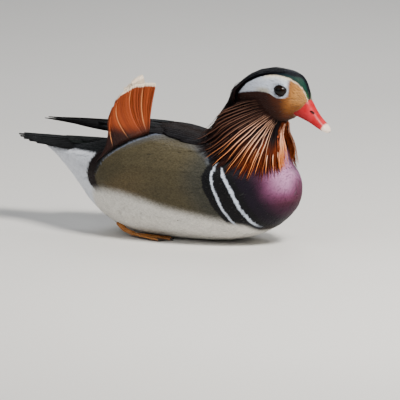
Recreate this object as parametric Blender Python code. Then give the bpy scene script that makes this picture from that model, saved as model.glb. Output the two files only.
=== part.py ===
# A drake mandarin duck, life size, resting on its belly. It faces +X, its left side is +Y and
# the floor is z = 0. Lengths below are millimetres, turned into metres as meshes are made.

import math
import random

import bmesh
import bpy
from mathutils import Matrix, Quaternion, Vector
from mathutils.bvhtree import BVHTree

MM = 0.001
GAP = 0.3            # left between touching parts
HALF_GAP = GAP / 2

# The trunk, station by station from the undertail to the breast:
# x, lowest z, z where it is widest, highest z, half width
TRUNK = [
    (-129, 69, 71, 73.5, 4),
    (-120, 65, 70.5, 76, 11),
    (-107, 54.5, 67, 77.5, 18),
    (-92, 40.5, 62.5, 78.5, 25),
    (-75, 22, 58, 80.5, 34.5),
    (-54, 8, 55, 87.5, 45),
    (-28, -0.2, 54, 98.5, 52.5),
    (2, -1.4, 55, 100.3, 55.5),
    (32, -1.4, 55, 96.8, 55.5),
    (58, 0, 54, 92, 51.5),
    (80, 4.5, 52, 89, 44.5),
    (99, 12, 51, 82, 35.5),
    (113.5, 23, 51, 75, 25),
    (123, 34, 51, 66, 14.5),
    (127.5, 45, 51.5, 58, 5),
]
TRUNK_SQUARE = 2.35   # 2 is an ellipse, more is boxier

# The neck under its ruff: z, centre x, half length, half width
NECK = [
    (52, 87, 30, 34),
    (66, 83, 34.5, 37),
    (80, 78, 36.5, 34.5),
    (90, 76, 37, 31),
    (104, 78, 31.5, 24),
    (114, 83, 29.5, 18.5),
    (124, 89.5, 24.5, 15),
    (134, 94, 22, 12),
]

# The head, from the back of the skull's feathering to the face:
# x, lowest z, z where it is widest, highest z, half width
HEAD = [
    (63.5, 129, 132.5, 136, 3.5),
    (69, 121, 133.5, 142.5, 9.5),
    (78, 114, 135, 150, 13.5),
    (89, 108, 136, 155.8, 16.3),
    (101, 107, 136, 159, 17.6),
    (113, 109, 135, 160, 16.6),
    (123, 112.5, 134, 158.3, 14),
    (131, 117, 133.5, 154.2, 11.4),
    (136, 121.5, 133.5, 147.5, 8.6),
    (139, 126, 133.5, 140.5, 5),
]

# The bill, in its own directions: forward along BILL_DOWN degrees below level, from its root
BILL_ROOT = Vector((133.0, 0.0, 125.0))
BILL_DOWN = 37.5
BILL_LENGTH = 30.5
# along, height of the ridge over the axis, half width
BILL_TOP = [(0, 9.4, 8.8), (5, 7.4, 7.8), (11, 5.2, 6.9), (17, 3.9, 6.6), (23, 3.2, 6.4),
            (27.5, 2.3, 5.2), (30, 0.8, 3.0)]
# along, depth under the axis, half width
BILL_UNDER = [(0, 8.8, 8.2), (6, 7.3, 6.9), (13, 5.6, 5.8), (20, 4.6, 5.4), (25, 3.7, 4.2),
              (27.6, 2.6, 2.4)]
MOUTH_START = -4.2      # the mouth line over the axis at the gape
MOUTH_END = -1.4        # and at the tip

EYE = Vector((114.4, -11.4, 142.7))
EYE_RADIUS = 5.7
LID_RADIUS = 5.3
LID_THICK = 0.9

# Where the flesh is parted: a point and the way its plane faces
NECK_FROM_TRUNK = (Vector((80, 0, 84)), Vector((0.30, 0, 1)))
HEAD_FROM_NECK = (Vector((92, 0, 112)), Vector((0.45, 0, 1)))
RUMP_FROM_TRUNK = (Vector((-84, 0, 60)), Vector((-1, 0, -0.10)))


def unit(vector):
    return vector.normalized()


def blend(points, t):
    """Point at t from 0 to 1 on a smooth curve through evenly spaced points."""
    count = len(points) - 1
    place = min(max(t, 0.0), 1.0) * count
    i = min(int(place), count - 1)
    f = place - i
    p0 = points[max(i - 1, 0)]
    p1 = points[i]
    p2 = points[i + 1]
    p3 = points[min(i + 2, count)]
    return [0.5 * (2 * b + (c - a) * f + (2 * a - 5 * b + 4 * c - d) * f * f
                   + (3 * b - a - 3 * c + d) * f ** 3)
            for a, b, c, d in zip(p0, p1, p2, p3)]


def vector_at(points, t):
    return Vector(blend(points, t))


def new_object(name, corners, faces, collection):
    """A mesh object from corners in millimetres."""
    mesh = bpy.data.meshes.new(name)
    mesh.from_pydata([Vector(c) * MM for c in corners], [], faces)
    mesh.validate()
    item = bpy.data.objects.new(name, mesh)
    collection.objects.link(item)
    return item


def edit(item, work):
    """Open an object's mesh, let work change it, and write it back."""
    shape = bmesh.new()
    shape.from_mesh(item.data)
    work(shape)
    shape.to_mesh(item.data)
    shape.free()


def face_outwards(item):
    edit(item, lambda shape: bmesh.ops.recalc_face_normals(shape, faces=shape.faces))


def swell(item, distance):
    """Move the surface outwards along its own normals."""
    def work(shape):
        shape.normal_update()
        for corner in shape.verts:
            corner.co += corner.normal * distance * MM
    edit(item, work)


def flipped(item, name):
    """The mirror image of an object, on the other side of the body."""
    twin = item.copy()
    twin.data = item.data.copy()
    twin.name = name
    item.users_collection[0].objects.link(twin)

    def work(shape):
        for corner in shape.verts:
            corner.co.y = -corner.co.y
        bmesh.ops.reverse_faces(shape, faces=shape.faces)
    edit(twin, work)
    return twin


def rings_to_solid(name, rings, collection):
    """Skin a row of closed rings and cap both ends with a fan."""
    size = len(rings[0])
    corners = [point for ring in rings for point in ring]
    faces = []
    for r in range(len(rings) - 1):
        for i in range(size):
            a = r * size + i
            b = r * size + (i + 1) % size
            faces.append((a, b, b + size, a + size))
    for first, ring in ((0, rings[0]), ((len(rings) - 1) * size, rings[-1])):
        middle = sum((Vector(p) for p in ring), Vector()) / size
        corners.append(middle)
        tip = len(corners) - 1
        for i in range(size):
            faces.append((tip, first + i, first + (i + 1) % size))
    item = new_object(name, corners, faces, collection)
    face_outwards(item)
    return item


def spread(value, power):
    return math.copysign(abs(value) ** (2 / power), value)


def loft_along_x(name, stations, steps, around, power, collection):
    rings = []
    for s in range(steps + 1):
        x, low, wide, high, half = blend(stations, s / steps)
        ring = []
        for i in range(around):
            turn = 2 * math.pi * i / around
            across = spread(math.cos(turn), power) * half
            rise = spread(math.sin(turn), power)
            z = wide + rise * ((high - wide) if rise > 0 else (wide - low))
            ring.append((x, across, z))
        rings.append(ring)
    return rings_to_solid(name, rings, collection)


def loft_up(name, stations, steps, around, collection):
    rings = []
    for s in range(steps + 1):
        z, middle, length, half = blend(stations, s / steps)
        rings.append([(middle + length * math.cos(2 * math.pi * i / around),
                       half * math.sin(2 * math.pi * i / around), z) for i in range(around)])
    return rings_to_solid(name, rings, collection)


def combine(item, others, operation, collection):
    """One Boolean of an object with others, applied. The others are removed."""
    group = bpy.data.collections.new("group")
    bpy.context.scene.collection.children.link(group)
    for other in others:
        group.objects.link(other)
    step = item.modifiers.new("join", "BOOLEAN")
    step.operation = operation
    step.operand_type = "COLLECTION"
    step.collection = group
    step.solver = "MANIFOLD"
    graph = bpy.context.evaluated_depsgraph_get()
    mesh = bpy.data.meshes.new_from_object(item.evaluated_get(graph))
    item.modifiers.clear()
    item.data = mesh
    for other in list(group.objects):
        bpy.data.objects.remove(other)
    bpy.data.collections.remove(group)
    return item


def keep_largest(item):
    """Drop every loose surface but the largest."""
    def work(shape):
        bmesh.ops.dissolve_limit(shape, angle_limit=math.radians(0.4), verts=shape.verts,
                                 edges=shape.edges)
        bmesh.ops.triangulate(shape, faces=shape.faces)
        left = set(shape.faces)
        best = []
        while left:
            seed = left.pop()
            group = [seed]
            queue = [seed]
            while queue:
                face = queue.pop()
                for side in face.edges:
                    for other in side.link_faces:
                        if other in left and len(side.link_faces) == 2:
                            left.remove(other)
                            group.append(other)
                            queue.append(other)
            if len(group) > len(best):
                best = group
        keep = set(best)
        drop = [face for face in shape.faces if face not in keep]
        bmesh.ops.delete(shape, geom=drop, context="FACES")
    edit(item, work)
    return item


def cut_flat(item, point, facing):
    """Remove what lies on the facing side of a plane and close the cut."""
    def work(shape):
        geometry = shape.verts[:] + shape.edges[:] + shape.faces[:]
        cut = bmesh.ops.bisect_plane(shape, geom=geometry, plane_co=Vector(point) * MM,
                                     plane_no=facing, clear_outer=True, dist=0.001 * MM)
        rim = [g for g in cut["geom_cut"] if isinstance(g, bmesh.types.BMEdge)]
        bmesh.ops.holes_fill(shape, edges=rim)
        bmesh.ops.triangulate(shape, faces=shape.faces)
    edit(item, work)
    return item


def copy_of(item, name):
    twin = item.copy()
    twin.data = item.data.copy()
    twin.name = name
    item.users_collection[0].objects.link(twin)
    return twin


def vane(name, path, normals, widths, thickness, collection, ridge=0.0, tilt=0.0, grow=0.0):
    """A flat tapered feather along a path, split into triangles alike on both faces."""
    rows = (-1, 0, 1) if ridge else (-1, 1)
    size = 2 * len(rows)
    last = len(path) - 1
    lean = math.radians(tilt)
    corners = []
    for i, (point, normal) in enumerate(zip(path, normals)):
        along = unit(path[min(i + 1, last)] - path[max(i - 1, 0)])
        side = unit(along.cross(normal))
        face = unit(side.cross(along))
        turn = Quaternion(along, lean)
        side.rotate(turn)
        face.rotate(turn)
        half = widths[i] + grow
        deep = face * (thickness[i] / 2 + grow)
        centre = point + along * (grow if i == last else -grow if i == 0 else 0)
        for row in rows:
            middle = centre + side * half * row + face * (ridge * half * (1 - abs(row)))
            corners += [middle + deep, middle - deep]
    faces = []
    for i in range(last):
        a = i * size
        b = a + size
        for j in range(0, size - 2, 2):
            faces += [(a + j, a + j + 2, b + j + 2), (a + j, b + j + 2, b + j),
                      (a + j + 1, b + j + 3, a + j + 3), (a + j + 1, b + j + 1, b + j + 3)]
        far = size - 2
        faces += [(a, b, b + 1), (a, b + 1, a + 1),
                  (a + far, a + far + 1, b + far + 1), (a + far, b + far + 1, b + far)]
    for a in (0, last * size):
        for j in range(0, size - 2, 2):
            faces += [(a + j, a + j + 1, a + j + 3), (a + j, a + j + 3, a + j + 2)]
    item = new_object(name, corners, faces, collection)
    face_outwards(item)
    return item


def laid(curve, lifts, tree):
    """Points of a guide curve set on the body's surface and lifted off it."""
    path = []
    normals = []
    for point, lift in zip(curve, lifts):
        spot, normal, _, _ = tree.find_nearest(point * MM)
        path.append(spot / MM + normal * lift)
        normals.append(normal)
    return path, normals


def arc(root, middle, tip, steps):
    """Points on the curve that leaves root, passes near middle and ends at tip."""
    points = []
    for i in range(steps + 1):
        t = i / steps
        points.append(root * (1 - t) ** 2 + middle * 2 * t * (1 - t) + tip * t * t)
    return points


def patch(name, body, centre, radii, thickness, collection):
    """The part of a layer of that thickness on the body that lies inside an ellipsoid."""
    bpy.ops.mesh.primitive_uv_sphere_add(segments=14, ring_count=7, radius=1, location=(0, 0, 0))
    region = bpy.context.active_object
    region.name = name

    def work(shape):
        for corner in shape.verts:
            corner.co = Vector([(c + corner.co[k] * r) * MM
                                for k, (c, r) in enumerate(zip(centre, radii))])
    edit(region, work)
    for owner in list(region.users_collection):
        owner.objects.unlink(region)
    collection.objects.link(region)
    layer = copy_of(body, name + "_layer")
    swell(layer, thickness)
    return combine(region, [layer], "INTERSECT", collection)


def dress(item, name, colour, roughness, metallic=0.0):
    """Name an object and its mesh, and give it a material of its own."""
    item.name = name
    item.data.name = name
    material = bpy.data.materials.new(name)
    material.use_nodes = True
    shader = material.node_tree.nodes["Principled BSDF"]
    shader.inputs["Base Color"].default_value = (*colour, 1)
    shader.inputs["Roughness"].default_value = roughness
    shader.inputs["Metallic"].default_value = metallic
    item.data.materials.clear()
    item.data.materials.append(material)
    return item


for old in list(bpy.data.objects):
    bpy.data.objects.remove(old)
duck = bpy.data.collections.new("mandarin_duck")
tools = bpy.data.collections.new("tools")
bpy.context.scene.collection.children.link(duck)
bpy.context.scene.collection.children.link(tools)


# The flesh, whole
def whole_body(grow):
    pieces = [loft_along_x("trunk", TRUNK, 21, 22, TRUNK_SQUARE, tools),
              loft_up("neck_core", NECK, 7, 16, tools),
              loft_along_x("head_core", HEAD, 12, 18, 2.0, tools)]
    if grow:
        for piece in pieces:
            swell(piece, grow)
    whole = combine(pieces[0], pieces[1:], "UNION", tools)
    whole.name = "body_%.1f" % grow
    return keep_largest(whole)


body = whole_body(0)
body_off = whole_body(GAP)
shape = bmesh.new()
shape.from_mesh(body.data)
skin = BVHTree.FromBMesh(shape)
shape.free()

bill_along = Vector((math.cos(math.radians(BILL_DOWN)), 0, -math.sin(math.radians(BILL_DOWN))))
bill_up = Vector((math.sin(math.radians(BILL_DOWN)), 0, math.cos(math.radians(BILL_DOWN))))


def parted(name, cuts):
    """A copy of the body between planes, each given as a point, a facing and an offset."""
    item = copy_of(body, name)
    for point, facing, offset in cuts:
        facing = unit(facing)
        cut_flat(item, point + facing * offset, facing)
    return item


floor_cut = (Vector((0, 0, 0)), Vector((0, 0, -1)), 0)
face_cut = (BILL_ROOT, bill_along, -HALF_GAP)


def below(parting):
    return (parting[0], parting[1], -HALF_GAP)


def above(parting):
    return (parting[0], -parting[1], -HALF_GAP)


torso = parted("torso", [floor_cut, below(NECK_FROM_TRUNK), below(RUMP_FROM_TRUNK)])
rump = parted("rump", [above(RUMP_FROM_TRUNK)])
neck = parted("neck", [above(NECK_FROM_TRUNK), below(HEAD_FROM_NECK)])
head = parted("head", [above(HEAD_FROM_NECK), face_cut])

# The bill: upper and lower halves that part along the mouth line
def mouth(along):
    return MOUTH_START + (MOUTH_END - MOUTH_START) * along / BILL_LENGTH


def half_bill(name, stations, sign, steps=12, around=10):
    rings = []
    for s in range(steps + 1):
        along, reach, half = blend(stations, s / steps)
        along += HALF_GAP if s == 0 else 0
        base = mouth(along) + sign * HALF_GAP
        height = reach * sign - base if sign > 0 else base + reach
        ring = []
        for i in range(around + 1):
            turn = math.pi * i / around
            across = half * spread(math.cos(turn), 2.5)
            up = base + sign * max(height, 0.5) * math.sin(turn) ** 0.9
            ring.append(BILL_ROOT + bill_along * along + bill_up * up + Vector((0, across, 0)))
        rings.append(ring)
    return rings_to_solid(name, rings, tools)


bill_upper = half_bill("bill_upper", BILL_TOP, 1)
bill_lower = half_bill("bill_lower", BILL_UNDER, -1)


def ball(name, centre, radius, segments=14, rings=8, scale=(1, 1, 1)):
    bpy.ops.mesh.primitive_uv_sphere_add(segments=segments, ring_count=rings, radius=1,
                                         location=(0, 0, 0))
    item = bpy.context.active_object
    item.name = name

    def work(shape):
        for corner in shape.verts:
            corner.co = (Vector(centre) + Vector([corner.co[k] * radius * scale[k]
                                                  for k in range(3)])) * MM
    edit(item, work)
    for owner in list(item.users_collection):
        owner.objects.unlink(item)
    tools.objects.link(item)
    return item


nostrils = [ball("nostril", BILL_ROOT + bill_along * 8.2 + bill_up * 4.2 + Vector((0, side * 6.0, 0)),
                 1.7, 10, 6, (1.2, 1, 0.7)) for side in (-1, 1)]
combine(bill_upper, nostrils, "DIFFERENCE", tools)

# The eyes, each in a socket with a ring of lids round it
def lid(name, centre, side):
    bpy.ops.mesh.primitive_torus_add(major_segments=12, minor_segments=4, major_radius=LID_RADIUS * MM,
                                     minor_radius=LID_THICK * MM, location=(0, 0, 0),
                                     rotation=(math.radians(90), 0, 0))
    item = bpy.context.active_object
    item.name = name
    item.data.transform(item.matrix_basis)
    item.matrix_basis.identity()
    spot = Vector((centre.x, side * (abs(centre.y) + 3.9), centre.z)) * MM
    for corner in item.data.vertices:
        corner.co += spot
    for owner in list(item.users_collection):
        owner.objects.unlink(item)
    tools.objects.link(item)
    return item


eyes = []
lids = []
sockets = []
for label, side in (("right", -1), ("left", 1)):
    centre = Vector((EYE.x, side * abs(EYE.y), EYE.z))
    eyes.append(ball("eye_" + label, centre, EYE_RADIUS))
    sockets.append(ball("socket_" + label, centre, EYE_RADIUS + GAP, 12, 8))
    lids.append(lid("lid_" + label, centre, side))
combine(head, lids, "UNION", tools)
combine(head, sockets, "DIFFERENCE", tools)


# The ruff: flat locks that fan out from the cheek over the neck to the shoulder and the breast
RUFF_ROOT = [(92, -17, 133), (98, -17, 129), (102.5, -16.5, 125), (105.5, -16, 121.5), (108, -15, 118),
             (110.5, -13, 115), (113.5, -8, 112), (116, -1.5, 109)]
RUFF_TIP = [(43, -12, 110), (39.5, -21, 101), (46, -35, 93.5), (57.5, -46, 80.5), (76, -46.5, 71),
            (94, -43, 64), (112, -31, 65), (122, -3, 88)]
# locks in the tier, how much of the way they reach, half width, lift off the neck
RUFF_TIERS = [(9, 1.0, 6.6, 2.3), (7, 0.8, 6.2, 5.2)]
RUFF_CORE = [((99, -15, 121), (22, 13, 13), 1.6)]


def ruff_pieces(grow):
    draw = random.Random(4)
    pieces = []
    for tier, (count, reach, half, lift) in enumerate(RUFF_TIERS):
        for k in range(count):
            s = (k + 0.3 + 0.4 * (tier % 2)) / count
            root = vector_at(RUFF_ROOT, s)
            tip = vector_at(RUFF_TIP, s)
            tip = root + (tip - root) * (reach + draw.uniform(-0.04, 0.03))
            middle = (root + tip) / 2 + Vector((0, -6, 5))
            curve = arc(root, middle, tip, 4)
            lifts = [0.5, lift * 0.8, lift, lift * 1.05, lift * 0.8]
            path, normals = laid(curve, lifts, skin)
            widths = [half * w for w in (0.35, 0.85, 1.0, 0.75, 0.12)]
            pieces.append(vane("lock", path, normals, widths, (1.5, 1.4, 1.3, 1.1, 0.6), tools,
                               tilt=11 + draw.uniform(-1, 1), grow=grow))
    return pieces


def feathered(name, makers, cores, cutters):
    """Fuse cores and feathers, clear the neighbours and keep one closed body."""
    pieces = [patch(name + "_core", body, *core, tools) for core in cores]
    for maker in makers:
        pieces += maker(0)
    item = combine(pieces[0], pieces[1:], "UNION", tools)
    item = combine(item, cutters, "DIFFERENCE", tools)
    return keep_largest(item)


def crest_pieces(grow):
    draw = random.Random(9)
    pieces = []
    for tier, (count, start, reach, half, lift) in enumerate(
            [(5, 90, 1.0, 3.4, 1.5), (4, 102, 0.84, 3.3, 3.4)]):
        for k in range(count):
            s = (k + 0.5) / count * 2 - 1
            root = Vector((start, s * 9, 160))
            tip = Vector((37 + 6 * s * s, s * 14, 97 + draw.uniform(-1, 3)))
            middle = Vector((54, s * 13, 156))
            tip = root + (tip - root) * reach
            curve = arc(root, middle, tip, 5)
            lifts = [0.5, max(lift * 0.6, 1.3), lift, lift, lift, lift * 0.7]
            path, normals = laid(curve, lifts, skin)
            widths = [half * w for w in (0.6, 0.95, 1.0, 1.0, 0.7, 0.12)]
            pieces.append(vane("plume", path, normals, widths, (1.3,) * 4 + (1.0, 0.6), tools,
                               tilt=-14 * s, grow=grow))
    return pieces


CREST_CORES = [((92, 0, 158), (20, 9, 8), 0.9)]


def off(maker, cores):
    """The room that a feathered part needs, its gap included."""
    pieces = [patch("space", body, *core[:2], core[2] + GAP, tools) for core in cores]
    pieces += maker(GAP)
    return combine(pieces[0], pieces[1:], "UNION", tools)


crest = feathered("crest", [crest_pieces], CREST_CORES, [copy_of(body_off, "cut")])
ruff_right = feathered("ruff_right", [ruff_pieces], RUFF_CORE, [copy_of(body_off, "cut")])
cut_flat(ruff_right, Vector((0, -HALF_GAP, 0)), Vector((0, 1, 0)))
ruff_left = flipped(ruff_right, "ruff_left")
for ruff in (ruff_right, ruff_left):
    combine(ruff, [off(crest_pieces, CREST_CORES)], "DIFFERENCE", tools)
    keep_largest(ruff)


# The folded wing: scapulars in two tiers over long tertials, and primaries that cross over the tail
WING_CORE = [((-14, -21, 92), (56, 25, 22), 1.8)]
# feathers in the tier, the first and last root, reach, half width, lift off the back
SCAPULARS = [(4, (26, -7, 101), (40, -33, 93), 36, 7.0, 3.2), (4, (4, -7, 101), (14, -31, 97), 38, 7.0, 1.6)]
# root, tip, half width
TERTIALS = [((-6, -9, 101), (-74, -7, 96), 8.0), ((-10, -17, 100), (-70, -14, 93.5), 7.5),
            ((-14, -25, 97), (-64, -22, 90), 7.0)]
PRIMARIES = [((-34, -9, 96), (-130, -3.4, 95.8), 3.3), ((-34, -11, 95.2), (-118, -5.2, 95.2), 3.3),
             ((-34, -13, 94.2), (-106, -7.2, 94.4), 3.3), ((-34, -15, 93), (-95, -9.4, 93.4), 3.3)]


def wing_pieces(grow):
    draw = random.Random(6)
    pieces = []
    for count, top, side, reach, half, lift in SCAPULARS:
        for k in range(count):
            t = k / (count - 1)
            root = Vector(top).lerp(Vector(side), t)
            tip = root + Vector((-reach * (1 - 0.15 * t), 2 - 5 * t, -2 * t)) * draw.uniform(0.95, 1.05)
            curve = arc(root, (root + tip) / 2, tip, 4)
            path, normals = laid(curve, [0.6, lift * 0.8, lift, lift, lift * 0.8], skin)
            widths = [half * w for w in (0.6, 1.0, 1.0, 0.8, 0.25)]
            pieces.append(vane("scapular", path, normals, widths, (1.4, 1.3, 1.2, 1.0, 0.7), tools,
                               tilt=-8, grow=grow))
    for order, (root, tip, half) in enumerate(TERTIALS):
        root = Vector(root)
        tip = Vector(tip)
        path = arc(root + Vector((0, 0, 1.5)), (root + tip) / 2 + Vector((0, 0, 3.2)), tip, 5)
        normal = unit(Vector((0, -0.10 - 0.22 * order, 1)))
        widths = [half * w for w in (0.7, 1.0, 1.0, 0.9, 0.65, 0.15)]
        pieces.append(vane("tertial", path, [normal] * 6, widths, (1.6, 1.4, 1.3, 1.2, 1.0, 0.7), tools,
                           tilt=-7, grow=grow))
    for root, tip, half in PRIMARIES:
        root = Vector(root)
        tip = Vector(tip)
        path = arc(root, (root + tip) / 2 + Vector((0, -1, 1.0)), tip, 5)
        normal = unit(Vector((0, -0.75, 1)))
        widths = [half * w for w in (0.8, 1.0, 1.0, 0.9, 0.6, 0.15)]
        pieces.append(vane("primary", path, [normal] * 6, widths, (1.6, 1.5, 1.3, 1.2, 1.0, 0.7), tools,
                           grow=grow))
    return pieces


# The sail: the broad inner vane of one tertial, which stands up from the rim of the flank
SAIL_ROOT = [(-9, -32, 95.5), (-25, -38, 89.5), (-42, -41, 80), (-59, -41.5, 66.5)]
SAIL_BEND = [(-16, -23, 116.5), (-34, -26, 110), (-50, -33, 94), (-57, -40.5, 75)]
SAIL_EDGE = [(-12, -14, 139), (-32, -14, 136.5), (-47, -22, 117), (-54, -30, 100), (-51, -37, 84)]
# the left one starts a little further back and falls away to a point
SAIL_LEFT_ROOT = [(-14, -33, 94.5), (-27, -38, 88.5), (-42, -41, 80), (-59, -41.5, 66.5)]
SAIL_LEFT_BEND = [(-20, -23, 117), (-35, -26, 107), (-50, -33, 93), (-57, -40.5, 75)]
SAIL_LEFT_EDGE = [(-18, -14, 140.5), (-33, -15, 128), (-46, -22, 113), (-53, -30, 98), (-51, -37, 84)]
SAIL_BARBS = 9
SAIL_LEFT_BACK = 24      # how much further back the left one is held, as the bird has it


def sail_pieces(grow, roots, bends, edge):
    pieces = []
    for k in range(SAIL_BARBS):
        t = k / (SAIL_BARBS - 1)
        root = vector_at(roots, t)
        bend = vector_at(bends, t)
        tip = vector_at(edge, t)
        middle = bend * 2 - (root + tip) / 2
        path = arc(root, middle, tip, 5)
        length = (tip - root).length
        half = 4.6 + 2.6 * (1 - t)
        widths = [half * w for w in (0.75, 0.95, 1.1, 1.15, 0.9, 0.3)]
        pieces.append(vane("barb", path, [Vector((0.1, -1, 0.35 + 0.4 * (1 - t)))] * 6, widths,
                           (1.6, 1.5, 1.4, 1.3, 1.1, 0.7), tools, tilt=9, grow=grow))
    steps = 8
    spine = [vector_at(roots, i / steps) + Vector((0, -0.4, 0.4)) for i in range(steps + 1)]
    widths = [3.4, 3.4, 3.4, 3.2, 3.0, 2.8, 2.4, 1.6, 0.5]
    pieces.append(vane("rachis", spine, [Vector((0.2, -1, 0.7))] * 9, widths, (2.6,) * 6 + (2.2, 1.6, 0.8),
                       tools, grow=grow))
    return pieces


# The tail: feathers in a fan, the middle pair on top, under short coverts
TAIL_PAIRS = 6
TAIL_ROOT = Vector((-80, 0, 79.8))
TAIL_REACH = 77.35


def tail_pieces(grow):
    pieces = []
    for k in range(TAIL_PAIRS):
        for side in (-1, 1):
            spread_angle = math.radians(2 + 3.3 * k) * side
            reach = TAIL_REACH - 1.5 * k * k - (1.5 if side > 0 else 0)
            heading = Vector((-math.cos(spread_angle), math.sin(spread_angle), 0))
            drop = -1.35 * k - (0.6 if side > 0 else 0)
            root = TAIL_ROOT + Vector((0, side * (1.5 + 1.7 * k), drop))
            tip = root + heading * reach + Vector((0, 0, -0.9))
            path = arc(root, (root + tip) / 2 + Vector((0, 0, 0.5)), tip, 4)
            normal = unit(Vector((0, 0.16 * side * k / 2, 1)))
            widths = [4.6, 6.2, 6.6, 5.6, 1.2]
            pieces.append(vane("rectrix", path, [normal] * 5, widths, (1.5, 1.4, 1.2, 1.1, 0.7), tools,
                               grow=grow))
    for k in range(5):
        across = k - 2
        root = TAIL_ROOT + Vector((8, across * 5.5, 1.6 - 0.5 * across ** 2))
        tip = root + Vector((-44 + 2.5 * across ** 2, across * 1.5, -1.0))
        path = arc(root, (root + tip) / 2 + Vector((0, 0, 0.3)), tip, 4)
        pieces.append(vane("covert", path, [Vector((0, 0.12 * across, 1))] * 5, [4, 6, 6, 4.6, 1],
                           (1.8, 1.6, 1.4, 1.2, 0.7), tools, grow=grow))
    return pieces


TAIL_CORE = [((-98, 0, 77), (20, 18, 11), 1.5)]
wing_right = feathered("wing_right", [wing_pieces], WING_CORE, [copy_of(body_off, "cut")])
wing_left = flipped(wing_right, "wing_left")
tail = feathered("tail", [tail_pieces], TAIL_CORE, [copy_of(body_off, "cut")])
for wing in (wing_right, wing_left):
    combine(wing, [off(tail_pieces, TAIL_CORE)], "DIFFERENCE", tools)
    for ruff in (off(ruff_pieces, RUFF_CORE),):
        if wing is wing_left:
            other = flipped(ruff, "space")
            bpy.data.objects.remove(ruff)
            ruff = other
        combine(wing, [ruff], "DIFFERENCE", tools)
    keep_largest(wing)
cut_flat(wing_right, Vector((0, -HALF_GAP, 0)), Vector((0, 1, 0)))
cut_flat(wing_left, Vector((0, HALF_GAP, 0)), Vector((0, -1, 0)))
keep_largest(wing_right)
keep_largest(wing_left)



def sail(name, wing_space, back, *lines):
    """One sail, set back by so much, as if on the right side, and clear of its wing."""
    pieces = sail_pieces(0, *lines)
    item = combine(pieces[0], pieces[1:], "UNION", tools)
    item.name = name
    item.data.transform(Matrix.Translation((-back * MM, 0, 0)))
    combine(item, [copy_of(body_off, "cut"), wing_space], "DIFFERENCE", tools)
    keep_largest(item)
    cut_flat(item, Vector((0, -HALF_GAP, 0)), Vector((0, 1, 0)))
    return keep_largest(item)


sail_right = sail("sail_right", off(wing_pieces, WING_CORE), 0, SAIL_ROOT, SAIL_BEND, SAIL_EDGE)
far_sail = sail("sail_far", off(wing_pieces, WING_CORE), SAIL_LEFT_BACK, SAIL_LEFT_ROOT,
                SAIL_LEFT_BEND, SAIL_LEFT_EDGE)
sail_left = flipped(far_sail, "sail_left")


# The feet, folded flat beside the belly: webbed toes on the floor and a shank up into the feathers
def foot_pieces():
    pieces = []
    heel = Vector((-26, -33, 3.2))
    for tip in (Vector((11, -26, 1.6)), Vector((14, -34, 1.6)), Vector((6, -42, 1.6))):
        path = [heel.lerp(tip, i / 4) for i in range(5)]
        pieces.append(vane("toe", path, [Vector((0, 0, 1))] * 5, [2.6, 2.2, 2.0, 1.6, 0.8],
                           (6, 4.6, 4.0, 3.6, 2.4), tools, ridge=0.3))
    path = [heel.lerp(Vector((8, -34, 0.8)), i / 4) - Vector((0, 0, 0.9)) for i in range(5)]
    pieces.append(vane("web", path, [Vector((0, 0, 1))] * 5, [2.5, 4.0, 5.8, 7.2, 7.0],
                       (3.2, 2.6, 2.4, 2.2, 1.8), tools))
    shank = [Vector((-24, -33, 3.6)), Vector((-34, -31, 6)), Vector((-42, -28, 11))]
    pieces.append(vane("shank", shank, [Vector((0.4, 0, 1))] * 3, [2.4, 2.6, 3.0], (5, 5, 5.5), tools))
    return pieces


toes = foot_pieces()
foot_right = combine(toes[0], toes[1:], "UNION", tools)
combine(foot_right, [copy_of(body_off, "cut")], "DIFFERENCE", tools)
cut_flat(foot_right, Vector((0, 0, 0)), Vector((0, 0, -1)))
keep_largest(foot_right)
foot_left = flipped(foot_right, "foot_left")

dress(torso, "torso", (0.42, 0.36, 0.24), 0.7)
dress(rump, "rump", (0.75, 0.76, 0.80), 0.7)
dress(neck, "neck", (0.20, 0.09, 0.05), 0.7)
dress(head, "head", (0.72, 0.70, 0.66), 0.7)
dress(bill_upper, "bill_upper", (0.75, 0.08, 0.06), 0.35)
dress(bill_lower, "bill_lower", (0.60, 0.06, 0.05), 0.35)
for eye, label in zip(eyes, ("right", "left")):
    dress(eye, "eye_" + label, (0.02, 0.015, 0.012), 0.05)
dress(crest, "crest", (0.05, 0.04, 0.06), 0.4)
dress(ruff_right, "ruff_right", (0.55, 0.22, 0.09), 0.55)
dress(ruff_left, "ruff_left", (0.55, 0.22, 0.09), 0.55)

for wing, sail, foot, label in ((wing_right, sail_right, foot_right, "right"),
                                (wing_left, sail_left, foot_left, "left")):
    dress(wing, "wing_" + label, (0.05, 0.05, 0.07), 0.4)
    dress(sail, "sail_" + label, (0.62, 0.24, 0.07), 0.55)
    dress(foot, "foot_" + label, (0.60, 0.30, 0.06), 0.5)
dress(tail, "tail", (0.06, 0.06, 0.06), 0.45)

finished = [torso, rump, neck, head, bill_upper, bill_lower, crest, tail, ruff_right, ruff_left,
            wing_right, wing_left, sail_right, sail_left, foot_right, foot_left] + eyes
for item in finished:
    for owner in list(item.users_collection):
        owner.objects.unlink(item)
    duck.objects.link(item)
for item in list(tools.objects):
    bpy.data.objects.remove(item)
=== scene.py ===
import math

import bmesh
import bpy
import numpy as np
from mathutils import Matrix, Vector
from mathutils.bvhtree import BVHTree
from mathutils.kdtree import KDTree


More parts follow.
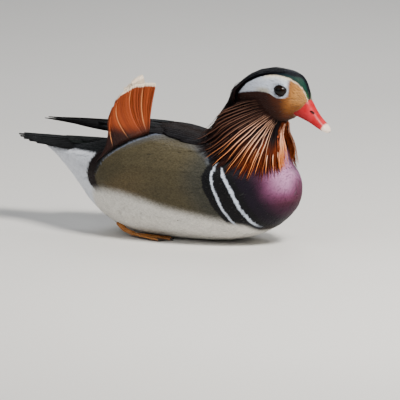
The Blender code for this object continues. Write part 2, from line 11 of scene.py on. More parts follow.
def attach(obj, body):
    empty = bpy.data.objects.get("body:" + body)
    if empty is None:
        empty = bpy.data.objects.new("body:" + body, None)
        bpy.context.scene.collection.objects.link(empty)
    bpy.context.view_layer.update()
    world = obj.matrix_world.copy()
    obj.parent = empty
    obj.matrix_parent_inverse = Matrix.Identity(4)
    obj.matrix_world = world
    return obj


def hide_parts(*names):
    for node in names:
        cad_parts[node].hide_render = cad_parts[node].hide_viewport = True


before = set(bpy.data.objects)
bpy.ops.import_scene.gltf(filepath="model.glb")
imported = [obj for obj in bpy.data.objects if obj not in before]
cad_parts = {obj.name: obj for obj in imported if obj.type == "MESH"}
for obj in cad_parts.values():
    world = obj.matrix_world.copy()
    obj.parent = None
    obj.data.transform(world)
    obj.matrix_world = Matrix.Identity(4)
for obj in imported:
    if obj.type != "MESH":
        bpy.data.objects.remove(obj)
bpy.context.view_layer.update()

# The view: from the bird's front right and a little above, through a long lens, as the
# photograph has it. The camera and the lights are placed in metres.
VIEW_TURN = math.radians(28.0)
VIEW_RISE = math.radians(10.5)
VIEW_DISTANCE = 8.0
PHOTO_WIDTH = 0.360          # what the photograph's 400 pixels span at the bird
AIM = Vector((0.0261, 0.0, 0.0331))

camera = bpy.data.objects.new("camera", bpy.data.cameras.new("camera"))
bpy.context.scene.collection.objects.link(camera)
towards_camera = Vector((math.sin(VIEW_TURN) * math.cos(VIEW_RISE),
                         -math.cos(VIEW_TURN) * math.cos(VIEW_RISE), math.sin(VIEW_RISE)))
camera.location = AIM + towards_camera * VIEW_DISTANCE
camera.rotation_euler = towards_camera.to_track_quat("Z", "Y").to_euler()
camera.data.sensor_width = 36.0
camera.data.lens = camera.data.sensor_width * VIEW_DISTANCE / PHOTO_WIDTH
camera.data.clip_end = 20.0
bpy.context.scene.camera = camera


# The stage: a plain pale floor, one soft key light from the bird's front, a wide weak fill
# from the camera's side, a wide stronger one from the far side, and an even pale surround.
LIGHTS_AIM = Vector((0, 0, 0.08))


def area_light(name, turn, rise, distance, size, power, colour):
    light = bpy.data.lights.new(name, "AREA")
    light.size = size
    light.energy = power
    light.color = colour
    lamp = bpy.data.objects.new(name, light)
    bpy.context.scene.collection.objects.link(lamp)
    away = Vector((math.sin(turn) * math.cos(rise), -math.cos(turn) * math.cos(rise), math.sin(rise)))
    lamp.location = LIGHTS_AIM + away * distance
    lamp.rotation_euler = away.to_track_quat("Z", "Y").to_euler()


area_light("key", math.radians(72), math.radians(52), 1.3, 0.36, 30.0, (1.0, 0.965, 0.91))
area_light("fill", math.radians(-20), math.radians(38), 1.6, 1.2, 5.0, (0.93, 0.96, 1.0))
area_light("far", math.radians(200), math.radians(40), 1.6, 1.0, 9.0, (0.95, 0.97, 1.0))

world = bpy.data.worlds.new("surround")
world.use_nodes = True
world.node_tree.nodes["Background"].inputs["Color"].default_value = (0.86, 0.88, 0.90, 1)
world.node_tree.nodes["Background"].inputs["Strength"].default_value = 0.26
bpy.context.scene.world = world


class Value:
    """A socket that takes part in ordinary sums, so that 1 - mask or a * b adds Math nodes."""

    def __init__(self, finish, socket):
        self.finish = finish
        self.socket = socket

    def sum(self, operation, first, second=0.0):
        return self.finish.node("ShaderNodeMath", {"operation": operation}, {0: first, 1: second})

    __add__ = __radd__ = lambda self, other: self.sum("ADD", self, other)
    __mul__ = __rmul__ = lambda self, other: self.sum("MULTIPLY", self, other)
    __sub__ = lambda self, other: self.sum("SUBTRACT", self, other)
    __rsub__ = lambda self, other: self.sum("SUBTRACT", other, self)
    __pow__ = lambda self, other: self.sum("POWER", self, other)
    __abs__ = lambda self: self.sum("ABSOLUTE", self)

    def between(self, low, high):
        """0 below low, 1 above high, smooth between."""
        return self.finish.node("ShaderNodeMapRange", {"interpolation_type": "SMOOTHSTEP"},
                                {"Value": self, "From Min": low, "From Max": high})


class Finish:
    """A material with one Principled shader, whose nodes all come from the method node."""

    def __init__(self, name, roughness, **constants):
        self.material = bpy.data.materials.new(name)
        self.material.use_nodes = True
        self.tree = self.material.node_tree
        self.shader = self.tree.nodes["Principled BSDF"]
        for socket, amount in {"Roughness": roughness, **constants}.items():
            self.shader.inputs[socket.replace("_", " ")].default_value = amount

    def node(self, kind, settings, values, output=0):
        """Add a node, set it up, then set or link its sockets. Returns one of its outputs."""
        made = self.tree.nodes.new(kind)
        for setting, value in settings.items():
            setattr(made, setting, value)
        for socket, value in values.items():
            if isinstance(value, Value):
                self.tree.links.new(value.socket, made.inputs[socket])
            else:
                made.inputs[socket].default_value = value
        return Value(self, made.outputs[output])

    def place(self):
        return self.node("ShaderNodeTexCoord", {}, {}, "Object")

    def noise(self, scale, detail=3.0, stretch=None):
        where = self.place()
        if stretch:
            where = self.node("ShaderNodeMapping", {}, {"Vector": where, "Scale": stretch})
        return self.node("ShaderNodeTexNoise", {}, {"Vector": where, "Scale": scale, "Detail": detail})

    def layer(self, name, output):
        return self.node("ShaderNodeAttribute", {"attribute_name": name}, {}, output)

    def parts(self, vector):
        return [self.node("ShaderNodeSeparateXYZ", {}, {"Vector": vector}, k) for k in range(3)]

    def mix(self, factor, first, second, how="MIX"):
        """Two colours mixed. The sockets 0, 6 and 7 are the factor and the colours."""
        return self.node("ShaderNodeMix", {"data_type": "RGBA", "blend_type": how},
                         {0: factor, 6: first, 7: second}, 2)

    def bump(self, height, strength, distance):
        return self.node("ShaderNodeBump", {},
                         {"Height": height, "Strength": strength, "Distance": distance})

    def feed(self, socket, value):
        self.tree.links.new(value.socket, self.shader.inputs[socket])


def paint(code):
    """A screen colour such as c08a4a as linear red, green and blue."""
    parts = [int(code[i:i + 2], 16) / 255 for i in (0, 2, 4)]
    return np.array([c / 12.92 if c <= 0.04045 else ((c + 0.055) / 1.055) ** 2.4 for c in parts])


def solid(code):
    return (*paint(code), 1.0)


bpy.ops.mesh.primitive_plane_add(size=12.0, location=(0, 0, 0))
floor = bpy.context.active_object
floor.name = "floor"
floor_finish = Finish("floor_paint", 0.75)
floor_tone = floor_finish.noise(1.5).between(0.3, 0.7)
floor_finish.feed("Base Color", floor_finish.mix(floor_tone, solid("dcdad6"), solid("e2e0dc")))
floor.data.materials.append(floor_finish.material)


# The skin: one closed surface under the whole coat, made of the solids of the flesh run
# together, smoothed, and drawn in by the depth of the feathers. From here on lengths are
# millimetres until a mesh is made.
MM = 0.001
FLESH = ("torso", "rump", "neck", "head")
MERGE = 0.002               # the solids' loose corners this close become one
SKIN_VOXEL = 1.5
SKIN_SWELL = 0.5            # closes the gaps where the solids are parted
COAT_DEPTH = 0.95           # how far the skin lies inside the solids on the body
HEAD_COAT_DEPTH = 0.2       # and on the head
CHIN_HOLLOW = 3.2           # how much further the skin is drawn in under the bill,
SHOULDER_HOLLOW = 2.4       # between the shoulders
FOREHEAD_HOLLOW = 1.9       # and over the bill


def new_mesh(name, corners, faces):
    """A mesh object from corners in millimetres and faces as lists of corners."""
    mesh = bpy.data.meshes.new(name)
    mesh.from_pydata([Vector(c) * MM for c in corners], [], faces)
    mesh.update()
    item = bpy.data.objects.new(name, mesh)
    bpy.context.scene.collection.objects.link(item)
    return item


def evaluated(item):
    """Apply an object's modifiers to its mesh."""
    graph = bpy.context.evaluated_depsgraph_get()
    mesh = bpy.data.meshes.new_from_object(item.evaluated_get(graph))
    item.modifiers.clear()
    item.data = mesh
    mesh.name = item.name


def vertex_rows(item, field):
    flat = np.empty(len(item.data.vertices) * 3)
    item.data.vertices.foreach_get(field, flat)
    return flat.reshape(-1, 3)


def corners_of(item):
    return vertex_rows(item, "co") / MM


def move_corners(item, places):
    item.data.vertices.foreach_set("co", (places * MM).astype(np.float32).ravel())
    item.data.update()


def ramp(value, start, end):
    """0 as far as start, 1 from end on, straight between."""
    return np.clip((value - start) / (end - start), 0, 1)


def skin_depth(spots):
    """How far the skin is drawn in at places on the swollen flesh."""
    x, _, z = spots.T
    on_head = ramp(z, 100, 112) * ramp(x, 50, 62)
    chin = ramp(x, 106, 118) * ramp(z, 125, 116)
    shoulder = ramp(x, 0, 18) * ramp(x, 56, 44)
    forehead = ramp(x, 118, 126) * ramp(z, 129, 135)
    depth = COAT_DEPTH + (HEAD_COAT_DEPTH - COAT_DEPTH) * on_head + SKIN_SWELL
    depth += CHIN_HOLLOW * chin * ramp(z, 100, 106)
    depth += SHOULDER_HOLLOW * shoulder * ramp(z, 86, 94)
    depth += FOREHEAD_HOLLOW * forehead * ramp(z, 155, 144)
    return depth


shape = bmesh.new()
for node in FLESH:
    piece = bmesh.new()
    piece.from_mesh(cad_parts[node].data)
    bmesh.ops.remove_doubles(piece, verts=piece.verts, dist=MERGE * MM)
    piece.normal_update()
    for corner in piece.verts:
        corner.co += corner.normal * SKIN_SWELL * MM
    mesh = bpy.data.meshes.new("flesh")
    piece.to_mesh(mesh)
    piece.free()
    shape.from_mesh(mesh)
    bpy.data.meshes.remove(mesh)
skin = new_mesh("skin", [], [])
shape.to_mesh(skin.data)
shape.free()
remesh = skin.modifiers.new("remesh", "REMESH")
remesh.mode = "VOXEL"
remesh.voxel_size = SKIN_VOXEL * MM
evaluated(skin)
smooth = skin.modifiers.new("smooth", "SMOOTH")
smooth.factor = 0.6
smooth.iterations = 14
evaluated(skin)
skin.data.shade_smooth()
flesh_places = corners_of(skin)
move_corners(skin, flesh_places - vertex_rows(skin, "normal") * skin_depth(flesh_places)[:, None])
skin_places = corners_of(skin)
skin_shape = bmesh.new()
skin_shape.from_mesh(skin.data)
skin_tree = BVHTree.FromBMesh(skin_shape)
skin_shape.free()


# The markings, the same on skin and coat: the drake's dark crown, white brow with a painted lighter top, buff
# face, wine breast with a painted lilac sheen and two white bars, finely barred flanks, white belly and
# undertail, and dark back.
# Edges as a few points each. For these, how far forward comes first, then the height there.
CROWN_EDGE = [(60, 122), (64, 127.5), (67, 132), (70.8, 136.8), (78.5, 145.8), (87, 150.2),
              (93.3, 152.8), (102, 154.8), (108.8, 155.4), (115.8, 154.6), (122.2, 152.9),
              (129, 149), (133.2, 144.5), (135.9, 138.5), (137.1, 133)]
CROWN_LINE = [(102, 154.8), (112, 155.3), (122.2, 152.9), (127, 150.3), (131, 147), (134, 143),
              (136, 138), (138, 131)]
BROW_EDGE = [(60, 124.5), (64, 130), (67, 133.6), (69.7, 135.5), (75, 137.6), (81, 138.8),
             (92.5, 140.6), (102.3, 140.4), (106.4, 139.0), (111.8, 136.4), (116.9, 135.6),
             (122.1, 137.3), (124.5, 141)]
RIM = [(-66, 44), (-61, 52), (-57.4, 58.4), (-49.3, 72), (-36.4, 81.1), (-24.4, 88),
       (-13.5, 92.7), (-5.3, 95.7), (5.6, 97), (22.1, 95.4), (38.2, 91.7), (52.9, 84.4),
       (57.3, 77.6), (66, 76)]
BELLY = [(-66, 38), (-60, 40.5), (-48, 42.5), (-28, 42), (-6, 38), (14, 33), (50, 27), (75, 22),
         (100, 19), (128, 17)]
# For these the height comes first, then how far forward the edge stands there.
REAR_BAR = [(14, 86), (24, 78.5), (38.2, 71), (54.6, 65), (61, 63.2), (66, 62.6), (70, 63.0),
            (74, 64.2), (78, 66.4)]
FRONT_BAR = [(14, 101), (24, 94), (38.5, 86), (54.1, 79.5), (65.6, 73), (75, 69.3)]
BLACK_REAR = [(14, 80), (24, 73), (37.8, 63.8), (53.2, 56), (64.8, 53.6), (77.1, 58.5), (88, 62)]
UNDERTAIL = [(20, -42), (30, -50), (41.4, -59.8), (47.2, -66.9), (56.4, -70.2), (66.8, -67.2),
             (76, -60)]
WHITE_BARS = ((REAR_BAR, 0.95, 77), (FRONT_BAR, 1.45, 73))   # line, half width, top end
EYE_SPOT = (114.4, 142.2)
EYE_SQUASH = 0.84           # height of the eye's opening to its length
EYE_RING = 7.9              # reach of the pale ring round it


def ease(value, low, high):
    """0 up to low, 1 from high on, smooth between."""
    t = ramp(value, low, high)
    return t * t * (3 - 2 * t)


def along(curve, value):
    """The second measure of a curve's points where the first has these values."""
    return np.interp(value, [p[0] for p in curve], [p[1] for p in curve])


def off_eye(spots):
    """How far places lie from the middle of the eye's opening, seen from the side."""
    return np.hypot(spots[:, 0] - EYE_SPOT[0], (spots[:, 2] - EYE_SPOT[1]) / EYE_SQUASH)


def markings(spots):
    """Linear colour at places on the bird, and in a fourth column how finely barred it is."""
    x, y, z = spots.T
    side = np.abs(y)
    ragged = (np.sin(x * 1.3 + z * 0.7) + np.sin(x * 0.53 - z * 1.9 + y) + np.sin(z * 3.1 + y * 2.3)) / 3
    colour = np.tile(paint("1a100d"), (len(x), 1))

    def lay(code, mask):
        nonlocal colour
        mask = np.clip(mask, 0, 1)[:, None]
        colour = colour * (1 - mask) + paint(code) * mask

    # Back: warm brown over the shoulders, blue black at their sides, slate and then black behind
    lay("171a1c", ease(-x, 0, 35))
    lay("0c0f12", ease(-x, 55, 85))
    lay("08101e", ease(side, 14, 24) * ease(x, -10, 20))

    # Flanks: olive buff, finely barred, greyer towards the breast, blue grey at the upper rim
    rim = along(RIM, x) + ragged * 0.25
    black_rear = along(BLACK_REAR, z) + ragged * 0.3
    flank = ease(rim - z, -0.3, 0.4) * ease(black_rear - x, -0.4, 0.5) * ease(x, -68, -60)
    lay("4e4734", flank)
    lay("67573c", flank * ease(rim - z, 16, 40) * ease(-x, -20, 45) * 0.8)
    lay("373935", flank * ease(black_rear - x, 30, 4) * 0.75)
    lay("4c525c", flank * ease(rim - z, 7.0, 2.0) * ease(x, -40, -10) * 0.5)
    thin_line = ease(rim - z, 1.5, 0.5) * ease(rim - z, -0.2, 0.3)
    lay("6f7b93", flank * thin_line * (0.65 - 0.5 * ease(x, 18, 40)))
    barred = 0.6 * flank * ease(rim - z, 1, 5)

    # Belly and undertail: white, with a dark band between the flank and the undertail
    undertail = along(UNDERTAIL, z) + ragged * 0.4
    tail_base = 73.4 + ragged * 0.5 + (x + 75) * 0.04
    lay("140809", ease(undertail + 11 - x, -0.5, 0.5) * ease(rim + 22 - z, -3, 3) * ease(77 - z, -2, 2))
    lay("dfe3ec", ease(undertail - x, -0.5, 0.5) * ease(tail_base - z, -0.6, 0.8))
    belly = along(BELLY, x) + ragged * 0.6
    under = ease(belly - z, -7, 4)
    lay("dcd9d2", under * ease(x, -67, -61) * ease(black_rear + 14 - x, -4, 4))
    lay("dcd9d2", ease(belly - 6 - z, -3, 3) * ease(x, -67, -61))
    barred = barred * (1 - 0.55 * ease(belly - z, -6, 4))

    # Breast: black round the two white bars, purple black and then wine, with a painted lilac sheen on its
    # front
    breast = ease(x - black_rear, -0.4, 0.5) * ease(z - belly, -2.5, 3) * ease(104 - z, -3, 3)
    lay("07070b", breast)
    ahead = x - along(FRONT_BAR, z) + ragged
    lay("120a18", breast * ease(ahead, 5, 12))
    lay("3c1a30", breast * ease(ahead, 16, 32))
    lay("4a1f2c", breast * ease(x, 108, 122) * ease(z, 34, 44) * 0.8)
    # Painted highlight: a lilac sheen on the upper front of the breast, where the light falls, in two layers
    painted_sheen = breast * ease(38 - side, 0, 20) * ease(x, 96, 110) * ease(z, 38, 54)
    lay("7d4468", painted_sheen * ease(132 - x, 2, 10))
    painted_sheen = breast * ease(32 - side, 0, 18) * ease(x, 100, 113) * ease(z, 46, 58)
    lay("b482a8", painted_sheen * ease(130 - x, 2, 9) * 0.9)
    for bar, half, top in WHITE_BARS:
        half_here = half * (0.35 + 0.65 * ease(top - z, 0, 7))
        off_bar = np.abs(x - along(bar, z))
        lay("d5dff0", breast * ease(half_here - off_bar, -0.3, 0.3) * ease(top - z, -1, 1))

    # Neck, under the ruff: maroon black, blue black down the throat
    neck = ease(z, 84, 92) * ease(x, 34, 42)
    lay("1c0b09", neck)
    lay("080810", neck * ease(9 - side, -2, 2) * ease(x, 92, 102))

    # Head: brown cheek that turns buff towards the bill
    head = ease(z - (110 - (x - 100) * 0.12), -1, 2) * ease(x, 58, 63)
    crown = along(CROWN_EDGE, x) + ragged * 0.2
    brow = along(BROW_EDGE, x) + ragged * 0.2
    lay("28110b", head)
    lay("4a2412", head * ease(x + (z - 130) * 0.4, 102, 117))
    lay("8a5424", head * ease(x, 113, 123) * ease(z, 113, 125))
    lay("b98246", head * ease(x, 120, 129) * ease(z, 126, 137))
    lay("5c2f16", head * ease(x, 110, 120) * ease(124 - z, 0, 7) * 0.7)
    lay("2a130b", head * ease(116 - z, -3, 4) * 0.9)

    # White brow, painted blue grey as in shade and lighter along its top where the light falls, cream along
    # its upper edge, and a pale ring round the eye
    white = head * ease(z - brow, -0.35, 0.35) * ease(crown - z, -0.3, 0.3)
    white *= 1 - ease(x, 119.5, 123)
    lay("b9c0ce", white)
    # Painted light: the top of the brow lighter, where the light falls on it
    lay("d6d6d2", white * ease(z - crown + 5, 0, 4) * ease(x, 92, 102))
    lay("a3976a", white * ease(108 - x, 0, 6) * ease(x, 86, 98) * ease(5.5 - z + brow, 0, 4) * 0.6)
    brow_rim = ease(z - crown + 1.3, -0.4, 0.4) * ease(crown - z, -0.3, 0.3)
    lay("e7d7bd", head * brow_rim * ease(x, 92, 104) * 0.8)
    lay("b4bbca", head * ease(EYE_RING - off_eye(spots), -0.3, 0.6) * ease(crown - z, -0.2, 0.4))

    # Dark crown, with a green stripe along its lower edge that brightens towards the bill
    dark = head * ease(z - crown, -0.3, 0.3)
    lay("0b0709", dark)
    lay("050712", dark * ease(x, 92, 104))
    from_edge = np.full(len(x), 99.0)
    line_x, line_z = np.transpose(CROWN_LINE)
    for t in np.linspace(0, len(CROWN_LINE) - 1, 36):
        edge_x, edge_z = (np.interp(t, range(len(CROWN_LINE)), line) for line in (line_x, line_z))
        from_edge = np.minimum(from_edge, np.hypot(x - edge_x, z - edge_z))
    stripe = dark * ease(2.1 + 2.0 * ease(x, 122, 132) - from_edge, -0.8, 0.8) * ease(side, 1.0, 4.0)
    lay("05161f", stripe * ease(x, 102, 112))
    lay("072b2a", stripe * ease(x, 112, 122))
    lay("0d382c", stripe * ease(x, 122, 131))
    lay("2c6a2e", stripe * ease(x, 129, 135) * ease(142 - z, 0, 7))
    return np.column_stack([colour, barred])


def set_plumage(item, colours):
    """Keep a colour, and in a fourth column how much of a pattern shows, at each corner."""
    layer = item.data.attributes.new("plumage", "FLOAT_COLOR", "POINT")
    layer.data.foreach_set("color", colours.astype(np.float32).ravel())


set_plumage(skin, markings(skin_places))
skin_finish = Finish("skin_down", 0.8, Sheen_Weight=0.2)
down = skin_finish.noise(900.0, 4.0)
skin_tint = skin_finish.mix(down.between(0.25, 0.75), solid("c9c9c9"), solid("ffffff"))
skin_colour = skin_finish.mix(1.0, skin_finish.layer("plumage", "Color"), skin_tint, "MULTIPLY")
skin_finish.feed("Base Color", skin_colour)
skin_finish.feed("Normal", skin_finish.bump(down, 0.5, 0.0006))
skin.data.materials.append(skin_finish.material)
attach(skin, "root")
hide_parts(*FLESH)


# The coat of small body feathers: thin closed vanes that start in the skin, point the way the
# plumage lies and overlap like tiles, smallest on the face and largest on back and undertail.
PATCH = 0.003               # size of a feather's patch on the coat's unwrap
HEAD_FLOOR = 108.0          # above this the unwrap is the head's
# Where each starts on the unwrap, how long it is, and the height of the line it is wrapped round
BODY_WRAP = (-135.0, 275.0, 55.0)
HEAD_WRAP = (30.0, 120.0, 120.0)
BILL_MIDDLE = np.array([147.0, 0, 127.0])   # from which the head's feathers lie away
BILL_ROOT = np.array([133.0, 0, 125.0])
BILL_DOWN = math.radians(37.5)
BILL_ALONG = np.array([math.cos(BILL_DOWN), 0, -math.sin(BILL_DOWN)])
BILL_UP = np.array([math.sin(BILL_DOWN), 0, math.cos(BILL_DOWN)])
BILL_BASE = np.array([135.0, 0, 123.0])
BILL_NEAR = 16.0            # this close to the base the feathers are short
EYE_CLEAR = 5.95            # no feather comes this close to the middle of an eye
BAR_REACH = 3.2             # this close to the middle of a white bar they are the bars' kind
FLOOR_CLEAR = 0.35          # no feather's middle line comes closer to the floor
MIRROR = np.array([1, -1, 1])               # from the right side to the left
# Kinds of feather and their sizes: spacing of the roots, length, half width, how far they
# stand off the skin, and how thick they are. The last kind is for the two white bars.
FACE, BREAST, BACK, FLANK, UNDERTAIL_COAT, BELLY_COAT, BARS = range(7)
COAT_SIZES = np.array([(1.15, 4.0, 0.75, 0.5, 0.06), (1.5, 4.8, 1.3, 0.6, 0.06),
                       (2.2, 8.5, 2.2, 0.9, 0.10), (1.7, 7.0, 1.7, 0.7, 0.10),
                       (1.9, 9.0, 1.9, 0.5, 0.10), (2.2, 8.0, 2.2, 0.95, 0.10),
                       (1.05, 3.0, 0.85, 0.55, 0.06)])


def unwrap(spots):
    """Places on a flat unwrap of the body: round its length, the head in a strip of its own."""
    x, y, z = spots.T
    strips = []
    for (start, span, axis), low, wide in ((BODY_WRAP, 0.02, 0.56), (HEAD_WRAP, 0.62, 0.36)):
        u = 0.02 + 0.96 * (x - start) / span
        v = low + wide * (np.arctan2(y, axis - z) / (2 * math.pi) + 0.5)
        strips.append(np.column_stack([u, v]))
    return np.where((z > HEAD_FLOOR)[:, None], strips[1], strips[0])


def unit_rows(rows):
    return rows / np.maximum(np.linalg.norm(rows, axis=-1, keepdims=True), 1e-9)


def lie(spots, normals):
    """The way the feathers lie: back from the bill, down the neck, back along the body."""
    x, y, z = spots.T
    from_bill = unit_rows(spots - BILL_MIDDLE)
    down_neck = np.tile([-0.45, 0, -1.0], (len(x), 1))
    down_breast = np.tile([-0.75, 0, -0.65], (len(x), 1))
    back = np.tile([-1.0, 0, -0.06], (len(x), 1))
    on_head = (ease(z, 104, 116) * ease(x, 52, 60))[:, None]
    on_neck = (ease(z, 84, 98) * ease(x, 34, 44))[:, None]
    on_breast = ease(x, 60, 112)[:, None]
    way = back * (1 - on_breast) + down_breast * on_breast
    way = way * (1 - on_neck) + down_neck * on_neck
    way = way * (1 - on_head) + from_bill * on_head
    way = way - normals * (way * normals).sum(axis=1, keepdims=True)
    return unit_rows(way)


def scatter(draw, spacing):
    """Places spread over the skin, no two closer than the spacing asked for there."""
    mesh = skin.data
    mesh.calc_loop_triangles()
    flat = np.empty(len(mesh.loop_triangles) * 3, dtype=np.int32)
    mesh.loop_triangles.foreach_get("vertices", flat)
    a, b, c = (skin_places[flat.reshape(-1, 3)[:, k]] for k in range(3))
    middle = (a + b + c) / 3
    area = np.linalg.norm(np.cross(b - a, c - a), axis=1) / 2
    gap = spacing(middle)
    weight = area / gap ** 2
    count = int(weight.sum() * 3.2)         # enough tries to fill the skin
    pick = draw.choice(len(area), count, p=weight / weight.sum())
    u, v = draw.random((2, count, 1))
    turned = u + v > 1
    u, v = np.where(turned, 1 - u, u), np.where(turned, 1 - v, v)
    spots = a[pick] + (b[pick] - a[pick]) * u + (c[pick] - a[pick]) * v
    gap = gap[pick]
    tree = KDTree(count)
    for i, spot in enumerate(spots):
        tree.insert(spot, i)
    tree.balance()
    taken = np.zeros(count, dtype=bool)
    kept = []
    for i in range(count):
        if not taken[i]:
            kept.append(i)
            for _, j, _ in tree.find_range(spots[i], gap[i]):
                taken[j] = True
    return spots[kept]


def settle(guides, lifts):
    """Set guide points on the skin and lift them off it. Returns places and normals."""
    nearest = [skin_tree.find_nearest(Vector(spot) * MM)[:2] for spot in guides.reshape(-1, 3)]
    places = np.array([found for found, _ in nearest]).reshape(guides.shape) / MM
    normals = np.array([normal for _, normal in nearest]).reshape(guides.shape)
    return places + normals * lifts[..., None], normals


def map_feathers(item, maps, homes, colours, tones):
    """Give each corner of a piece of feathers its places on two maps, its colour and its tone.

    One map runs across and along each feather. The other, for baking, has a small patch for
    each, where the feather's root lies on the coat's unwrap."""
    mesh = item.data
    corners = np.empty(len(mesh.loops), dtype=np.int32)
    mesh.loops.foreach_get("vertex_index", corners)
    patches = unwrap(homes)[corners] + (maps[corners] - 0.5) * PATCH
    for name, spots in (("vane", maps[corners]), ("OFBake", patches)):
        layer = mesh.uv_layers.new(name=name)
        layer.data.foreach_set("uv", spots.astype(np.float32).ravel())
    set_plumage(item, colours)
    layer = mesh.attributes.new("tone", "FLOAT", "POINT")
    layer.data.foreach_set("value", tones.astype(np.float32))


def vane_faces(inner):
    """Faces of one small feather with so many rings of four corners between its two points."""
    tip = inner * 4 + 1
    around = [(k, (k + 1) % 4) for k in range(4)]
    faces = [(0, 1 + b, 1 + a) for a, b in around]
    for first in range(1, tip - 4, 4):
        faces += [(first + a, first + b, first + 4 + b, first + 4 + a) for a, b in around]
    return faces + [(tip - 4 + a, tip - 4 + b, tip) for a, b in around]


def vanes(name, spine, normals, half, deep, home, tone, colour=None, extra=None, turn=0.3, flip=False):
    """Many thin closed feathers as one mesh: a ridge above, a keel below, pointed at both ends.

    Without a colour for each station every corner takes the markings of its own place. With a
    turn, the shading follows the body's own surface, turned so much across each vane."""
    if flip:
        spine, normals, home = spine * MIRROR, normals * MIRROR, home * MIRROR
    count, stations = spine.shape[:2]
    inner = stations - 2
    size = inner * 4 + 2

    def whole(rings, ends):
        return np.concatenate([ends[:, :1], rings.reshape(count, inner * 4, 3), ends[:, -1:]], axis=1)

    run = unit_rows(np.gradient(spine, axis=1))
    across = unit_rows(np.cross(run, normals))
    up = np.cross(across, run)
    middle = spine[:, 1:-1]
    aside = half[:, :, None] * across[:, 1:-1]
    ridge = deep[:, :, None] * up[:, 1:-1]
    rings = np.stack([middle - aside, middle + ridge, middle + aside, middle - ridge * 0.6], axis=2)
    corners = whole(rings, spine).reshape(-1, 3)
    faces = vane_faces(inner)
    flat = np.concatenate([np.array(f) for f in faces])
    loops = (flat[None, :] + np.arange(count)[:, None] * size).ravel()
    totals = np.tile([len(f) for f in faces], count)
    item = new_mesh(name, [], [])
    mesh = item.data
    mesh.vertices.add(len(corners))
    mesh.vertices.foreach_set("co", (corners * MM).astype(np.float32).ravel())
    mesh.loops.add(len(loops))
    mesh.loops.foreach_set("vertex_index", loops.astype(np.int32))
    mesh.polygons.add(len(totals))
    mesh.polygons.foreach_set("loop_start", (np.cumsum(totals) - totals).astype(np.int32))
    mesh.update(calc_edges=True)
    mesh.shade_smooth()
    if turn is not None:
        flow = unit_rows(normals + up * 0.5)
        level, lean = flow[:, 1:-1], across[:, 1:-1] * turn
        shading = whole(np.stack([level - lean, level, level + lean, -level], axis=2), flow)
        shading = unit_rows(shading.reshape(-1, 3)).astype(np.float32)
        mesh.normals_split_custom_set_from_vertices(shading)
    sides = np.concatenate([[0.5], np.tile([0, 0.5, 1, 0.5], inner), [0.5]])
    lengthways = np.concatenate([[0], np.repeat(np.linspace(0, 1, stations)[1:-1], 4), [1]])
    if colour is None:
        colours = markings(corners)
    else:
        spread = [colour[:, :1], np.repeat(colour[:, 1:-1], 4, axis=1), colour[:, -1:]]
        colours = np.concatenate(spread, axis=1).reshape(-1, 3)
        colours = np.column_stack([colours, np.repeat(extra, size)])
    map_feathers(item, np.tile(np.column_stack([sides, lengthways]), (count, 1)),
                 np.repeat(home, size, axis=0), colours, np.repeat(tone, size))
    return item


def vane_places(finish):
    """Where a point lies across and along its feather, each from 0 to 1."""
    return finish.parts(finish.node("ShaderNodeUVMap", {"uv_map": "vane"}, {}))[:2]


def shaded_plumage(finish, shade):
    """The feathers' own colour, made lighter or darker."""
    grey = finish.node("ShaderNodeCombineXYZ", {}, {0: shade, 1: shade, 2: shade})
    return finish.mix(1.0, finish.layer("plumage", "Color"), grey, "MULTIPLY")


def wave(finish, angle):
    return finish.node("ShaderNodeMath", {"operation": "SINE"}, {0: angle})


def feather_finish(name, roughness, **constants):
    """Colour from the markings, a shade that varies by feather, barbs and fine dark bars."""
    finish = Finish(name, roughness, **constants)
    across, length = vane_places(finish)
    grain = finish.noise(1300.0, 2.0)
    base = shaded_plumage(finish, finish.layer("tone", "Fac") * 0.12 + length * 0.10 + grain * 0.3 + 0.72)
    bars = finish.noise(560.0, 2.0, stretch=(1.0, 1.0, 2.6)).between(0.46, 0.58)
    base = finish.mix(bars * finish.layer("plumage", "Alpha") * 0.55, base, solid("15120d"))
    finish.feed("Base Color", base)
    barbs = wave(finish, (abs(across - 0.5) * 26.0 + length * 60.0) * 2.4)
    finish.feed("Normal", finish.bump(barbs, 0.12, 0.0002))
    return finish


def where_on_body(spots):
    """Which kind of feather grows at each place."""
    x, y, z = spots.T
    kind = np.full(len(x), BACK)
    kind[z < along(RIM, x)] = FLANK
    kind[x > along(BLACK_REAR, z) - 6] = BREAST
    kind[z < along(BELLY, x) - 8] = BELLY_COAT
    for bar in (REAR_BAR, FRONT_BAR):
        kind[(np.abs(x - along(bar, z)) < BAR_REACH) & (z > 12) & (z < 80)] = BARS
    kind[(x < along(UNDERTAIL, z)) & (z < 71)] = UNDERTAIL_COAT
    kind[(z > 104) & (x > 56)] = FACE
    return kind


coat_draw = np.random.default_rng(11)
spacings, reaches, half_widths, rises, thicknesses = COAT_SIZES.T
roots = scatter(coat_draw, lambda spots: spacings[where_on_body(spots)])
_, root_normals = settle(roots, np.zeros(len(roots)))
kinds = where_on_body(roots)
ways = lie(roots, root_normals)
sideways = np.cross(ways, root_normals)
ways = unit_rows(ways + sideways * coat_draw.normal(0, 0.09, (len(roots), 1)))
growth = coat_draw.uniform(0.85, 1.15, len(roots))
